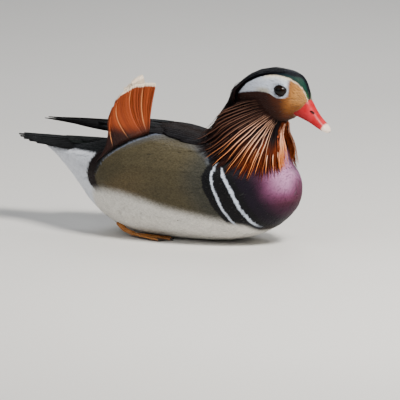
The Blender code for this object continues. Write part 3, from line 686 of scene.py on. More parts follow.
# No feather grows over an eye or the bill, and those near the bill are short.
eye_room = np.min([off_eye(roots + ways * reaches[kinds][:, None] * step)
                   for step in (0, 0.4, 0.8, 1.1)], axis=0)
on_side_of_head = (roots[:, 2] > 130) & (np.abs(roots[:, 1]) > 8)
by_bill = np.linalg.norm(roots - BILL_BASE, axis=1) < BILL_NEAR
bill_along = (roots - BILL_ROOT) @ BILL_ALONG
bill_up = (roots - BILL_ROOT) @ BILL_UP
bill_edge = -3.2 + 1.2 * ease(bill_up, -5, 0) + 3.0 * ease(bill_up, 6.5, 9.0)
growth = np.where(by_bill, growth * 0.7, growth)
keep = ~(on_side_of_head & (eye_room < EYE_CLEAR)) & (roots[:, 2] > 0.6)
keep &= ~(by_bill & (bill_along > bill_edge))
roots, root_normals, kinds, ways, growth = (a[keep] for a in (roots, root_normals, kinds, ways, growth))
stations = np.array([0.0, 0.30, 0.64, 0.92, 1.0])
lengths = reaches[kinds] * growth
guides = roots[:, None, :] + ways[:, None, :] * (lengths[:, None, None] * stations[None, :, None])
lifts = rises[kinds][:, None] * np.array([-0.5, 0.55, 0.85, 0.75, 0.35])
spine, spine_normals = settle(guides, lifts)
half = (half_widths[kinds] * growth)[:, None] * np.array([0.75, 1.0, 0.60])
deep = thicknesses[kinds][:, None] * np.array([1.0, 1.0, 0.8])
tones = coat_draw.random(len(roots))
spine[..., 2] = np.maximum(spine[..., 2], FLOOR_CLEAR)

body_finish = feather_finish("body_plumage", 0.55, Specular_IOR_Level=0.16)
COAT_PIECES = [("face_feathers", [FACE], "head_feathers"),
               ("breast_feathers", [BREAST, BARS], "body_feathers"),
               ("back_feathers", [BACK], "body_feathers"),
               ("flank_feathers", [FLANK], "body_feathers"),
               ("undertail_feathers", [UNDERTAIL_COAT], "undertail_feathers"),
               ("belly_feathers", [BELLY_COAT], "body_feathers")]
for name, members, slot in COAT_PIECES:
    mine = np.isin(kinds, members)
    coat = vanes(name, spine[mine], spine_normals[mine], half[mine], deep[mine], roots[mine], tones[mine])
    coat.data.materials.append(body_finish.material)
    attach(coat, "root")


# The ruff: long silky hackles in layers, narrow pointed feathers, some with pale shafts, that
# fan out from the lower cheek over the neck to the shoulder and the breast.
# Where those of the right side have their roots and their tips, from the nape to the throat
RUFF_ROOT = np.array([(95, -17, 134), (99, -17, 129.5), (102.5, -16.5, 125), (105.5, -16, 121.5),
                      (108, -15, 118), (110.5, -13, 115.5), (112.5, -8, 113.5), (114.5, -1.5, 112)])
RUFF_TIP = np.array([(42, -12, 110), (38, -21, 99), (44, -34, 91), (56, -45.5, 79),
                     (75, -47, 70), (94, -43, 63.5), (115, -26, 63), (122, -5, 74)])
HACKLES = 760               # on each side
BRIGHT_EVERY = 34           # one in so many is a bright one, and midway between is a dim one
SIDES = (("right", -1), ("left", 1))


def glide(points, t):
    """Places at t from 0 to 1 on a smooth curve through evenly spaced points."""
    count = len(points) - 1
    place = np.clip(t, 0, 1) * count
    i = np.minimum(place.astype(int), count - 1)
    f = (place - i)[:, None]
    p0, p1 = points[np.maximum(i - 1, 0)], points[i]
    p2, p3 = points[i + 1], points[np.minimum(i + 2, count)]
    return 0.5 * (2 * p1 + (p2 - p0) * f + (2 * p0 - 5 * p1 + 4 * p2 - p3) * f ** 2
                  + (3 * p1 - p0 - 3 * p2 + p3) * f ** 3)


def bowed(root, middle, tip, t):
    """Curves that leave root, are drawn towards middle and end at tip."""
    t = t[None, :, None]
    return root[:, None] * (1 - t) ** 2 + middle[:, None] * 2 * t * (1 - t) + tip[:, None] * t ** 2


def hackle_colours(s, t, draw):
    """Colour along each hackle: dark at its root, brown at its tip or, in front, orange."""
    maroon, brown, chestnut, orange = (paint(c) for c in ("0f0505", "1a0b07", "5c250e", "a84619"))
    forward = ease(s, 0.42, 0.80)[:, None, None]
    warm = brown * (1 - forward) + (chestnut * 0.45 + orange * 0.55) * forward
    late = (ease(t[None, :], 0.42, 0.92) * (0.1 + 0.8 * draw.random(HACKLES)[:, None]))[..., None]
    colour = maroon * (1 - late) + warm * late
    # The roots match the cheek, the foremost are orange, and a dark throat shows between.
    cheek = (1 - ease(t, 0.0, 0.22))[None, :] * (1 - ease(s, 0.6, 0.8))[:, None]
    front = ease(s, 0.91, 0.96)[:, None] * ease(t, 0.0, 0.15)[None, :]
    throat = (ease(s, 0.80, 0.85) * (1 - ease(s, 0.89, 0.93)))[:, None] * (1 - ease(t, 0.26, 0.46))[None, :]
    for code, mask in (("28110b", cheek), ("b9562a", front), ("07070d", throat)):
        colour = colour * (1 - mask[..., None]) + paint(code) * mask[..., None]
    return colour


def hackles(name, side, draw):
    """The hackles of one side, from those at the nape, at s = 0, to the throat, at s = 1."""
    order = np.arange(HACKLES)
    s = (order + draw.random(HACKLES)) / HACKLES
    layer = draw.random(HACKLES)
    # The bright and dim ones lie on top, with pale shafts, so that they show as lines.
    bright = ((order % BRIGHT_EVERY == 0) & (s > 0.04)) | ((order % 4 == 1) & (s > 0.92))
    dim = (order % BRIGHT_EVERY == BRIGHT_EVERY // 2) & (s < 0.8)
    lines = bright | dim
    below_throat = lines & (s > 0.79) & (s < 0.93)
    layer = np.where(bright, 0.85 + 0.15 * layer, np.where(dim, 0.7 + 0.15 * layer, layer * 0.85))
    root = glide(RUFF_ROOT, s)
    run = glide(RUFF_TIP, s) - root
    start = draw.uniform(-0.03, 0.42, HACKLES) * (1 - 0.55 * layer)
    reach = draw.uniform(0.80, 1.06, HACKLES) * (1 - 0.30 * layer * ~lines * ease(s, 0.2, 0.5))
    reach += 0.05 * (1 - ease(s, 0.25, 0.45))
    start = np.where(lines, start * 0.3, start * 0.7)
    start = np.where(below_throat, 0.3 + 0.15 * layer, start)
    first = root + run * start[:, None]
    last = root + run * np.maximum(reach, start + 0.35)[:, None]
    last += draw.normal(0, 1.3, (HACKLES, 3)) * np.where(bright, 0.7, 1.0)[:, None]
    last[:, 1] -= 9.0 * draw.random(HACKLES) * (s > 0.92)
    middle = (first + last) / 2 + np.array([0, -6, 5.0])
    middle[:, 2] += 3.0 * (1 - ease(s, 0.2, 0.6))
    t = np.linspace(0, 1, 8)
    guides = bowed(first, middle, last, t)
    rise = np.where(lines[:, None], [[0.25, 0.62, 0.84, 0.97, 1.06, 1.08, 0.96, 0.55]],
                    [[0.02, 0.35, 0.65, 0.85, 0.98, 1.02, 0.85, 0.35]])
    lifts = (1.6 + 4.8 * layer * (1 - 0.45 * start))[:, None] * rise
    # Some stand away from the neck a little at their tips, and those over the nape more, so
    # that the ruff's back edge is full.
    lifts += (draw.random(HACKLES) ** 3 * 1.2)[:, None] * (t ** 2)[None, :]
    full_back = t ** 1.5 * (1 - 0.6 * ease(t, 0.8, 1.0))
    lifts += (3.4 * (1 - ease(s, 0.12, 0.45)))[:, None] * full_back[None, :]
    spine, normals = settle(guides, lifts)
    profile = np.where(lines[:, None], [[0.26, 0.55, 0.82, 1.0, 0.85, 0.45]],
                       [[0.42, 0.78, 1.0, 0.92, 0.62, 0.3]])
    width = np.where(bright, 0.85, np.where(dim, 0.6, draw.uniform(0.9, 1.4, HACKLES)))
    colour = hackle_colours(s, t, draw)
    shafts = bright * (0.22 + 0.78 * ease(s, 0.3, 0.62)) + dim * (0.15 + 0.25 * ease(s, 0.35, 0.7))
    half = width[:, None] * profile
    return vanes(name, spine, normals, half, np.full(half.shape, 0.16), first, draw.random(HACKLES),
                 colour, shafts, 0.8, side > 0)


ruff_finish = Finish("hackles", 0.5, Specular_IOR_Level=0.1)
hackle_across, hackle_length = vane_places(ruff_finish)
off_shaft = abs(hackle_across - 0.5)
hackle_base = shaded_plumage(ruff_finish, ruff_finish.layer("tone", "Fac") * 0.5 + 0.72)
hackle_base = ruff_finish.mix(off_shaft.between(0.22, 0.45) * 0.7, hackle_base, solid("150705"))
shaft_shows = ruff_finish.layer("plumage", "Alpha")
shaft_colour = ruff_finish.mix(hackle_length.between(0.35, 0.85), solid("f0b898"), solid("e0884a"))
shaft_colour = ruff_finish.mix(shaft_shows.between(0.1, 0.75), solid("54382f"), shaft_colour)
on_shaft = (1 - off_shaft.between(0.16, 0.34)) * shaft_shows.between(0.0, 0.15)
on_shaft = on_shaft * hackle_length.between(0.0, 0.10) * (1 - hackle_length.between(0.86, 1.0) * 0.6)
ruff_finish.feed("Base Color", ruff_finish.mix(on_shaft, hackle_base, shaft_colour))
ruff_finish.feed("Normal", ruff_finish.bump(ruff_finish.noise(700.0, 3.0), 0.15, 0.0002))
for label, side in SIDES:
    ruff = hackles("ruff_hackles_" + label, side, np.random.default_rng(21))
    ruff.data.materials.append(ruff_finish.material)
    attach(ruff, "root")
    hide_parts("ruff_" + label)


# The crest: narrow silky plumes from the crown that fall back over the nape, blue black above
# with a purple and copper gloss, longest down the middle.
PLUMES = 800


def crest_plumes(draw):
    """The plumes, from s = -1 at the right edge of the crest to s = 1 at the left."""
    s = draw.uniform(-1, 1, PLUMES)
    layer = draw.random(PLUMES)
    start = 84 + 34 * draw.random(PLUMES)
    root = np.column_stack([start, s * 9.5, np.full(PLUMES, 160.0)])
    tip = np.column_stack([36 + 6 * s * s + draw.uniform(-1, 2.5, PLUMES), s * 15,
                           97 + draw.uniform(-3, 5, PLUMES)])
    reach = 1 - 0.45 * draw.random(PLUMES) ** 2
    tip = root + (tip - root) * reach[:, None]
    middle = np.column_stack([np.full(PLUMES, 56.0), s * 13.5, 150 + 10 * reach])
    t = np.linspace(0, 1, 9)
    guides = bowed(root, middle, tip, t)
    lifts = (0.7 + 2.4 * layer)[:, None] * np.array([0.25, 0.7, 0.85, 0.95, 0.95, 1.05, 1.7, 2.1, 0.7])
    spine, normals = settle(guides, lifts)
    half = draw.uniform(0.6, 1.0, PLUMES)[:, None] * np.array([0.6, 0.9, 1, 1, 0.9, 0.7, 0.4])
    crown, nape, copper = (paint(c) for c in ("04040a", "0e0506", "280e09"))
    late = ease(t, 0.35, 1.0)[None, :, None]
    colour = crown * (1 - late) + nape * late
    warm = (draw.random(PLUMES) < 0.3)[:, None, None] * ease(t, 0.5, 0.9)[None, :, None]
    colour = colour * (1 - warm) + copper * warm
    return vanes("crest_plumes", spine, normals, half, np.full(half.shape, 0.15), root,
                 draw.random(PLUMES), colour, np.zeros(PLUMES), 0.6)


crest = crest_plumes(np.random.default_rng(31))
crest_finish = feather_finish("crest_plumage", 0.45, Specular_IOR_Level=0.12)
crest.data.materials.append(crest_finish.material)
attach(crest, "root")
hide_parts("crest")


# The folded wings: scapulars in tiers on the back, long tertials, and primaries whose tips
# meet over the tail. Each is a broad vane with a raised shaft and a thin paler edge.
QUILL_ROWS = 9              # corners across a broad feather
QUILL_STEPS = 14            # and along it
CAMBER = 0.12               # how far its middle rises, for a half width of 1
SHAFT_RISE = 0.25
SHAFT_WIDE = 0.12           # for a half width of 1


def sheet_faces(wide, long):
    """Faces of a closed sheet: an upper grid of corners, a lower one, and a wall round both."""
    lower = wide * long
    faces = []
    for r in range(long - 1):
        for a in range(r * wide, (r + 1) * wide - 1):
            b = a + lower
            faces += [(a, a + 1, a + wide + 1, a + wide), (b, b + wide, b + wide + 1, b + 1)]
    border = [r * wide for r in range(long)] + [(long - 1) * wide + c for c in range(1, wide)]
    border += [r * wide + wide - 1 for r in range(long - 2, -1, -1)] + list(range(wide - 2, 0, -1))
    return faces + [(a, b, b + lower, a + lower) for a, b in zip(border, border[1:] + border[:1])]


def quill(root, tip, bow, normal, half, profile, thick):
    """One broad closed feather. Returns its corners, its faces and a map across and along it."""
    t = np.linspace(0, 1, QUILL_STEPS)
    root, tip, bow = (np.array(p, dtype=float) for p in (root, tip, bow))
    middle = (root + tip) / 2 + bow
    line = bowed(root[None], middle[None], tip[None], t)[0]
    run = unit_rows(np.gradient(line, axis=0))
    side = unit_rows(np.cross(run, normal))
    up = np.cross(side, run)
    width = half * np.interp(t, np.linspace(0, 1, len(profile)), profile)
    across = np.linspace(-1, 1, QUILL_ROWS)
    bend = CAMBER * half * (1 - across ** 2) + SHAFT_RISE * np.exp(-(across / SHAFT_WIDE) ** 2)
    depth = thick * (1 - 0.6 * t)
    swept = -0.25 * half * across[None, :] ** 2 * ease(t, 0.6, 1)[:, None]
    top = (line[:, None] + side[:, None] * (width[:, None] * across[None])[..., None]
           + up[:, None] * bend[None, :, None] + run[:, None] * swept[..., None])
    under = top - up[:, None] * depth[:, None, None]
    corners = np.concatenate([top.reshape(-1, 3), under.reshape(-1, 3)])
    grid = np.column_stack([np.tile((across + 1) / 2, QUILL_STEPS), np.repeat(t, QUILL_ROWS)])
    return corners, sheet_faces(QUILL_ROWS, QUILL_STEPS), np.concatenate([grid, grid])


def joined(shapes):
    """Corners and faces of many shapes as one list of each."""
    corners, faces = [], []
    for more_corners, more_faces in shapes:
        faces += [tuple(k + len(corners) for k in face) for face in more_faces]
        corners += list(more_corners)
    return corners, faces


def face_outwards(item):
    shape = bmesh.new()
    shape.from_mesh(item.data)
    bmesh.ops.recalc_face_normals(shape, faces=shape.faces)
    shape.to_mesh(item.data)
    shape.free()


def quills(name, feathers, colours, tones):
    """Join broad feathers into one piece, with maps and colours."""
    item = new_mesh(name, *joined([feather[:2] for feather in feathers]))
    face_outwards(item)
    each = len(feathers[0][0])
    homes = np.repeat([feather[0][0] for feather in feathers], each, axis=0)
    maps = np.concatenate([feather[2] for feather in feathers])
    plumage = np.repeat([(*colour, 0) for colour in colours], each, axis=0)
    map_feathers(item, maps, homes, plumage, np.repeat(tones, each))
    item.data.shade_smooth()
    item.data.set_sharp_from_angle(angle=math.radians(50))
    return item


def quill_finish(name, roughness, edge, edge_strength, shaft, **constants):
    """A broad vane: its colour, a thin edge of another, a shaft, slanting barbs and soft mottling."""
    finish = Finish(name, roughness, **constants)
    across, length = vane_places(finish)
    middle = abs(across - 0.5)
    base = shaded_plumage(finish, finish.layer("tone", "Fac") * 0.3 + finish.noise(70.0, 4.0) * 0.5 + 0.6)
    rim = middle.between(0.44, 0.49) * length.between(0.1, 0.4)
    base = finish.mix(rim * edge_strength, base, solid(edge))
    base = finish.mix((1 - middle.between(0.012, 0.03)) * 0.7, base, solid(shaft))
    finish.feed("Base Color", base)
    barbs = wave(finish, (middle * 60.0 + length * 150.0) * 1.6)
    finish.feed("Normal", finish.bump(barbs, 0.35, 0.0003))
    finish.feed("Roughness", finish.noise(180.0).between(0.0, 1.0) * 0.2 + (roughness - 0.1))
    return finish


# Tiers from the shoulder back: first and last root, how many, how far back they reach, half
# width, lift off the back. Then root, tip and half width of each long feather.
SCAPULAR_TIERS = [((34, -4, 97), (44, -25, 92), 7, 30, 4.6, 1.0),
                  ((20, -4, 98), (30, -23, 94), 7, 32, 4.8, 1.4),
                  ((4, -4, 100), (12, -22, 97), 7, 36, 5.0, 1.8),
                  ((-10, -4, 100), (-2, -24, 96), 6, 34, 5.2, 2.2)]
TERTIALS = [((-6, -9, 101.5), (-74, -7, 96.5), 8.0), ((-10, -17, 100.5), (-70, -14, 94), 7.5),
            ((-14, -25, 97.5), (-50, -22, 92), 7.0)]
PRIMARIES = [((-34, -9, 96), (-131.5, -3.3, 95.6), 3.4), ((-34, -10, 95.4), (-124, -4.3, 95.3), 3.4),
             ((-34, -11.5, 94.8), (-115, -5.8, 95.0), 3.4), ((-34, -13, 94), (-105, -7.4, 94.6), 3.4),
             ((-34, -15, 93), (-94, -9.6, 93.8), 3.4)]
FEATHER_PROFILE = (0.35, 0.85, 1.0, 1.0, 0.92, 0.74, 0.16)
PRIMARY_PROFILE = (0.6, 1.0, 1.0, 0.92, 0.74, 0.45, 0.05)


def facing(across):
    """The direction that a feather's upper side faces, tilted sideways by so much."""
    return unit_rows(np.array([0, across, 1.0]))


def wing_feathers(draw):
    """The right wing's scapulars, rearmost tier first, tertials and primaries, and their looks."""
    made = []
    tints = []
    for first, last, count, reach, half, lift in SCAPULAR_TIERS[::-1]:
        for t in np.arange(count) / (count - 1):
            root = np.array(first) * (1 - t) + np.array(last) * t
            rearward = max(0, 10 - root[0]) * 0.02
            tip = root + np.array([-reach * (1 - 0.12 * t), 1 - 2 * t, -2 * t]) * draw.uniform(0.95, 1.05)
            (root, middle, tip), normals = settle(np.array([root, (root + tip) / 2, tip]),
                                                  np.array([0.4, lift + 0.8, lift * 0.8]))
            bow = middle - (root + tip) / 2
            made.append(quill(root, tip, bow, normals[1], half, FEATHER_PROFILE, 0.7))
            mix = min(1, draw.random() * 0.3 + 0.7 * t + rearward)
            tints.append(paint("150803") * (1 - mix) + paint("020308") * mix)
    for order, (root, tip, half) in enumerate(TERTIALS):
        root = np.array(root) - [0, 0, 2.0]
        normal = facing(-0.10 - 0.22 * order)
        made.append(quill(root, tip, (0, 0, 4.4), normal, half, FEATHER_PROFILE, 0.8))
        tints.append(paint("08090b"))
    for root, tip, half in PRIMARIES:
        made.append(quill(root, tip, (0, -1, 1.0), facing(-0.75), half, PRIMARY_PROFILE, 0.8))
        tints.append(paint("070607"))
    return made, tints, draw.random(len(made))


wing_finish = quill_finish("wing_vanes", 0.55, "2a2424", 0.15, "020202", Specular_IOR_Level=0.05)
for label, side in SIDES:
    made, tints, tones = wing_feathers(np.random.default_rng(41))
    if side > 0:
        made = [(corners * MIRROR, faces, grid) for corners, faces, grid in made]
    wing = quills("wing_feathers_" + label, made, tints, tones)
    wing.data.materials.append(wing_finish.material)
    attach(wing, "root")
    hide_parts("wing_" + label)


# The sails: on each side the broad orange inner vane of one tertial stands up from the rim of
# the flank. Its barbs curve up and inwards, split here and there and fray into a cream edge.
# The left one stands further back and falls away to a point.
# Lines on which the barbs have their roots, their bend and their tips, from the front edge back
SAIL_LINES = {
    "right": ([(-9, -32, 95.5), (-25, -38, 89), (-42, -41, 79.5), (-59, -41.5, 66)],
              [(-12.5, -23, 116.5), (-36.5, -26, 111), (-47, -33, 100), (-47.5, -40, 82)],
              [(-12, -14, 139), (-34, -14, 135), (-47, -20, 122), (-50.5, -28, 108), (-46, -36.5, 96)]),
    "left": ([(-19, -33, 94.5), (-27, -38, 88.5), (-42, -41, 79.5), (-59, -41.5, 66)],
             [(-18, -23, 117), (-33, -26, 107), (-49, -33, 93), (-56, -40.5, 75)],
             [(-18, -14, 140.5), (-33, -15, 128), (-46, -22, 113), (-51, -30, 98), (-50, -37, 83.5)])}
SAIL_SET_BACK = {"right": 0.0, "left": 24.0}
# Where along a barb the cream edge starts, and where along the sail it has faded
CREAM = {"right": (0.935, 0.52), "left": (0.775, 0.77)}
BARBS = 260
SAIL_SPLITS = (0.15, 0.28, 0.52, 0.76)      # where the vane parts, from its front edge
# The part of their length over which the barbs at each split show pale
PALE_LINES = np.array([(0, 0), (0.10, 0.95), (0.62, 0.95), (0.04, 0.85), (0.05, 0.6)])


def sail_colours(label, s, t, group, within):
    """Colour along each barb: painted shade in brown at the foot, orange, some pale, a painted shadow before
    each split, and cream at the edge.
    """
    start, cream_end = CREAM[label]
    brown, orange, deep_orange, cream = (paint(c) for c in ("2a110b", "9a4218", "742c0f", "efdcc4"))
    blend = (0.5 + 0.5 * np.sin(s * 40 + 2 * np.sin(s * 13)))[:, None, None]
    body = orange * (1 - blend * 0.6) + deep_orange * blend * 0.6
    # Painted shade: brown at the foot of the barbs, reaching higher towards the sail's rear
    low = ease(t[None, :] - 0.5 * ease(s, 0.35, 0.95)[:, None], 0.0, 0.3)[..., None]
    colour = brown * (1 - low) + body * low
    # Painted shadow: each panel darker along its edge next to the following split, where the panels overlap
    colour = colour * (1 - 0.5 * ease(within, 0.72, 1.0))[:, None, None]
    pale = PALE_LINES[group]
    line = ease(0.022 - within, -0.006, 0.006)[:, None] * ease(t[None, :] - pale[:, :1], 0, 0.2)
    line = (line * ease(pale[:, 1:] - t[None, :], 0, 0.1) * 0.7)[..., None]
    colour = colour * (1 - line) + paint("bd7746") * line
    edge = ease(t[None, :], start - 0.006, start + 0.006) * (1 - ease(s, 0.42, cream_end))[:, None]
    return colour * (1 - edge[..., None]) + cream * edge[..., None]


def sail_barbs(label, side, draw):
    """The barbs of one sail, from its front edge, at s = 0, to its rear end, at s = 1."""
    start = CREAM[label][0]
    back = np.array([SAIL_SET_BACK[label], 0, 0])
    s = (np.arange(BARBS) + 0.5) / BARBS
    splits = np.array((0,) + SAIL_SPLITS + (1,))
    group = np.searchsorted(SAIL_SPLITS, s)
    within = (s - splits[group]) / (splits[group + 1] - splits[group])
    root, bend, tip = (glide(np.array(line), s ** power)
                       for line, power in zip(SAIL_LINES[label], (1.7, 1.05, 1.0)))
    # The barbs of one group hold together as a panel, and each panel overlaps the next.
    overlap = np.column_stack([(0.5 - within) * 3.0, -1.1 + 2.2 * within, np.zeros(BARBS)])
    bend = bend + overlap * 0.6
    tip = tip + overlap
    fray = draw.normal(0, 0.4, BARBS)[:, None] + 0.6 * np.sin(within * math.pi)[:, None]
    tip = tip + unit_rows(tip - root) * fray
    middle = bend * 2 - (root + tip) / 2
    t = np.concatenate([np.linspace(0, start - 0.05, 10), [start - 0.008, start + 0.008, (1 + start) / 2, 1]])
    spine = bowed(root, middle, tip, t) - back
    spine += (draw.normal(0, 0.06, BARBS))[:, None, None] * np.array([0, 1.0, 0.2])
    normals = np.tile(np.array([0.1, -1, 0.55]), (BARBS, len(t), 1))
    profile = 0.85 * np.interp(t[1:-1], [0, 0.6, 0.85, 1], [1, 1, 0.85, 0.4])
    half = (0.75 + 0.45 * (1 - s))[:, None] * profile
    colour = sail_colours(label, s, t, group, within)
    return vanes("sail_barbs_" + label, spine, normals, half, np.full(half.shape, 0.3), root - back,
                 draw.random(BARBS), colour, np.zeros(BARBS), None, side > 0)


sail_finish = feather_finish("sail_vane", 0.5, Specular_IOR_Level=0.25)
for label, side in SIDES:
    sail = sail_barbs(label, side, np.random.default_rng(51))
    sail.data.materials.append(sail_finish.material)
    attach(sail, "root")
    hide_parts("sail_" + label)


# The tail: stiff feathers in a narrow fan, the middle pair on top and longest, under short
# black brown coverts with a green gloss.
TAIL_ROOT = np.array([-80.0, 0, 79.8])
TAIL_REACH = 78.0           # of the longest pair, on top
TAIL_PAIRS = 7
TAIL_PROFILE = (0.3, 0.62, 0.92, 1.0, 0.94, 0.8, 0.3)
COVERTS = 9                 # across the tail's root, in each of two rows


def tail_feathers(draw):
    """The tail's feathers, the lowest pair first, then the coverts over their roots."""
    made = []
    tints = []
    for k in range(TAIL_PAIRS)[::-1]:
        for side in (-1, 1):
            left = side > 0
            turn = math.radians(2 + 2.8 * k) * side
            reach = TAIL_REACH - 3.0 * k - 0.8 * k * k - 1.0 * left
            heading = np.array([-math.cos(turn), math.sin(turn), 0])
            root = TAIL_ROOT + np.array([0, side * (1.3 + 1.3 * k), -0.85 * k - 0.5 * left])
            tip = root + heading * reach + np.array([0, 0, -0.9])
            made.append(quill(root, tip, (0, 0, 0.5), facing(0.045 * side * k), 5.2, TAIL_PROFILE, 0.8))
            tints.append(paint("08090a"))
    for k in range(COVERTS):
        across = (k - COVERTS // 2) / 2
        for row in range(2):
            root = TAIL_ROOT + np.array([12 - 14 * row, across * 5.0, 1.4 - 0.9 * across ** 2 - 0.4 * row])
            tip = root + np.array([-32 + 5.0 * across ** 2, across * 1.5, -0.9])
            made.append(quill(root, tip, (0, 0, 0.3), facing(0.18 * across), 4.2, FEATHER_PROFILE, 0.7))
            tints.append(paint("0f1412") if k % 2 else paint("0c0e0f"))
    return made, tints, draw.random(len(made))


tail = quills("tail_feathers", *tail_feathers(np.random.default_rng(61)))
tail_finish = quill_finish("tail_vanes", 0.55, "1c1c1a", 0.3, "030303", Specular_IOR_Level=0.06)
tail.data.materials.append(tail_finish.material)
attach(tail, "root")
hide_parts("tail")


# The bill: red horn in two halves that part along the mouth line, with open nostrils near its
# base and a pale nail at its tip.
BILL_LENGTH = 30.5
BILL_STEPS, BILL_AROUND = 48, 28            # corners along each half and round it
# How far along the bill, how far above or below its middle line, half width there
BILL_TOP = np.array([(-3.5, 9.3, 9.2), (0, 9.3, 8.8), (5, 7.4, 7.8), (10, 5.6, 7.1), (17, 3.9, 6.6),
                     (23, 3.2, 6.4), (27.5, 2.3, 5.2), (30, 0.9, 3.0), (30.4, 0.3, 1.8)])
BILL_UNDER = np.array([(-4.5, 10.0, 9.6), (0, 8.9, 8.4), (6, 7.3, 6.9), (13, 5.6, 5.8), (20, 4.6, 5.4),
                       (25, 3.7, 4.2), (27.6, 2.6, 2.4)])
MOUTH_START = -4.2          # height of the mouth line at the bill's root, off its middle line,
MOUTH_END = -1.4            # and at its tip
HALF_MOUTH = 0.12           # half the gap between the halves
NOSTRIL_ALONG = 8.2
NOSTRIL_UP = 4.2
NOSTRIL_SIDE = 5.3


def ring_faces(rings, around):
    """Faces of a closed tube with so many rings of so many corners."""
    last = (rings - 1) * around
    faces = [tuple(range(around))[::-1], tuple(range(last, last + around))]
    for r in range(0, last, around):
        for i in range(around):
            a, b = r + i, r + (i + 1) % around
            faces.append((a, b, b + around, a + around))
    return faces


def half_bill(name, stations, sign):
    """The half above the mouth line, for sign 1, or below it, for sign -1."""
    corners = []
    for forward, reach, half in glide(stations, np.linspace(0, 1, BILL_STEPS)):
        lip = MOUTH_START + (MOUTH_END - MOUTH_START) * max(forward, 0) / BILL_LENGTH + sign * HALF_MOUTH
        height = max(reach - lip * sign, 0.5)
        for turn in np.linspace(0, math.pi, BILL_AROUND):
            side = half * math.copysign(abs(math.cos(turn)) ** 0.8, math.cos(turn))
            up = lip + sign * height * abs(math.sin(turn)) ** 0.9
            corners.append(BILL_ROOT + BILL_ALONG * forward + BILL_UP * up + np.array([0, side, 0]))
    item = new_mesh(name, corners, ring_faces(BILL_STEPS, BILL_AROUND))
    face_outwards(item)
    return item


def ball(name, centre, radii, segments=32, rings=20):
    bpy.ops.mesh.primitive_uv_sphere_add(segments=segments, ring_count=rings, radius=1)
    item = bpy.context.active_object
    item.name = name
    item.data.name = name
    move_corners(item, corners_of(item) * MM * np.array(radii) + np.array(centre))
    item.data.shade_smooth()
    return item


bill_upper = half_bill("bill_top", BILL_TOP, 1)
bill_lower = half_bill("bill_under", BILL_UNDER, -1)
for side in (-1, 1):
    hole = ball("nostril", (0, 0, 0), (2.4, 1.7, 1.0), 20, 12)
    turned = corners_of(hole) @ np.array([BILL_ALONG, [0, 1, 0], BILL_UP])
    move_corners(hole, turned + BILL_ROOT + BILL_ALONG * NOSTRIL_ALONG + BILL_UP * NOSTRIL_UP
                 + np.array([0, side * NOSTRIL_SIDE, 0]))
    cut = bill_upper.modifiers.new("nostril", "BOOLEAN")
    cut.operation = "DIFFERENCE"
    cut.object = hole
    cut.solver = "EXACT"
    evaluated(bill_upper)
    bpy.data.objects.remove(hole)
for item in (bill_upper, bill_lower):
    item.data.shade_smooth()
    item.data.set_sharp_from_angle(angle=math.radians(35))

bill_finish = Finish("bill_horn", 0.38, Specular_IOR_Level=0.28)
bill_x, _, bill_z = bill_finish.parts(bill_finish.place())
ahead_of_root = bill_x - BILL_ROOT[0] * MM
above_root = bill_z - BILL_ROOT[2] * MM
reach, height = (ahead_of_root * (way[0] / MM) + above_root * (way[2] / MM) for way in (BILL_ALONG, BILL_UP))
mottle = bill_finish.noise(160.0, 5.0)
red = bill_finish.mix(mottle.between(0.35, 0.7), solid("ae0d1a"), solid("c22430"))
# Painted shade: the lower part of the bill darker, most of all below the mouth line
red = bill_finish.mix((1 - height.between(-5.0, 2.0)) * 0.6, red, solid("7a0b10"))
red = bill_finish.mix((1 - reach.between(-2.0, 3.0)) * 0.35, red, solid("8a1014"))
# Painted shade: a dark oval in and round each open nostril
nostril_shade = 1 - (((reach - NOSTRIL_ALONG) * 0.42) ** 2 + (height - NOSTRIL_UP) ** 2).between(0.7, 1.3)
red = bill_finish.mix(nostril_shade * 0.9, red, solid("1c0404"))
nail = (reach + height * 0.25 + mottle * 1.2).between(23.6, 26.0)
bill_finish.feed("Base Color", bill_finish.mix(nail, red, solid("f0dccb")))
streaks = bill_finish.noise(420.0, 4.0, stretch=(1.0, 3.0, 1.0))
bill_finish.feed("Normal", bill_finish.bump(streaks, 0.12, 0.0004))
bill_finish.feed("Roughness", mottle * 0.2 + 0.32)
for item, node in ((bill_upper, "bill_upper"), (bill_lower, "bill_lower")):
    item.data.materials.append(bill_finish.material)
    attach(item, "root")
    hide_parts(node)


# The eyes: dark brown balls with a black pupil and a wet surface, set in the head, each within
# a ring of bare dark lid.
EYE = np.array([EYE_SPOT[0], 12.0, EYE_SPOT[1]])
EYE_RADIUS = 6.4
PUPIL_RADIUS = 2.6
eye_finish = Finish("eye_wet", 0.06, Specular_IOR_Level=0.16)
eye_x, _, eye_z = eye_finish.parts(eye_finish.place())
from_centre = (((eye_x - EYE[0] * MM) * (1 / MM)) ** 2 + ((eye_z - EYE[2] * MM) * (1 / MM)) ** 2) ** 0.5
iris = eye_finish.mix(eye_finish.noise(900.0, 4.0), solid("0c0604"), solid("1a0d07"))
in_pupil = 1 - from_centre.between(PUPIL_RADIUS, PUPIL_RADIUS + 0.3)
eye_finish.feed("Base Color", eye_finish.mix(in_pupil, iris, solid("020202")))


def grained(name, roughness, scale, detail, dark, light, relief=None, depth=None):
    """Skin or horn with a fine uneven grain in its colour and, if wanted, in relief."""
    finish = Finish(name, roughness)
    grain = finish.noise(scale, detail)
    finish.feed("Base Color", finish.mix(grain, solid(dark), solid(light)))
    if relief:
        finish.feed("Normal", finish.bump(grain, relief, depth))
    return finish


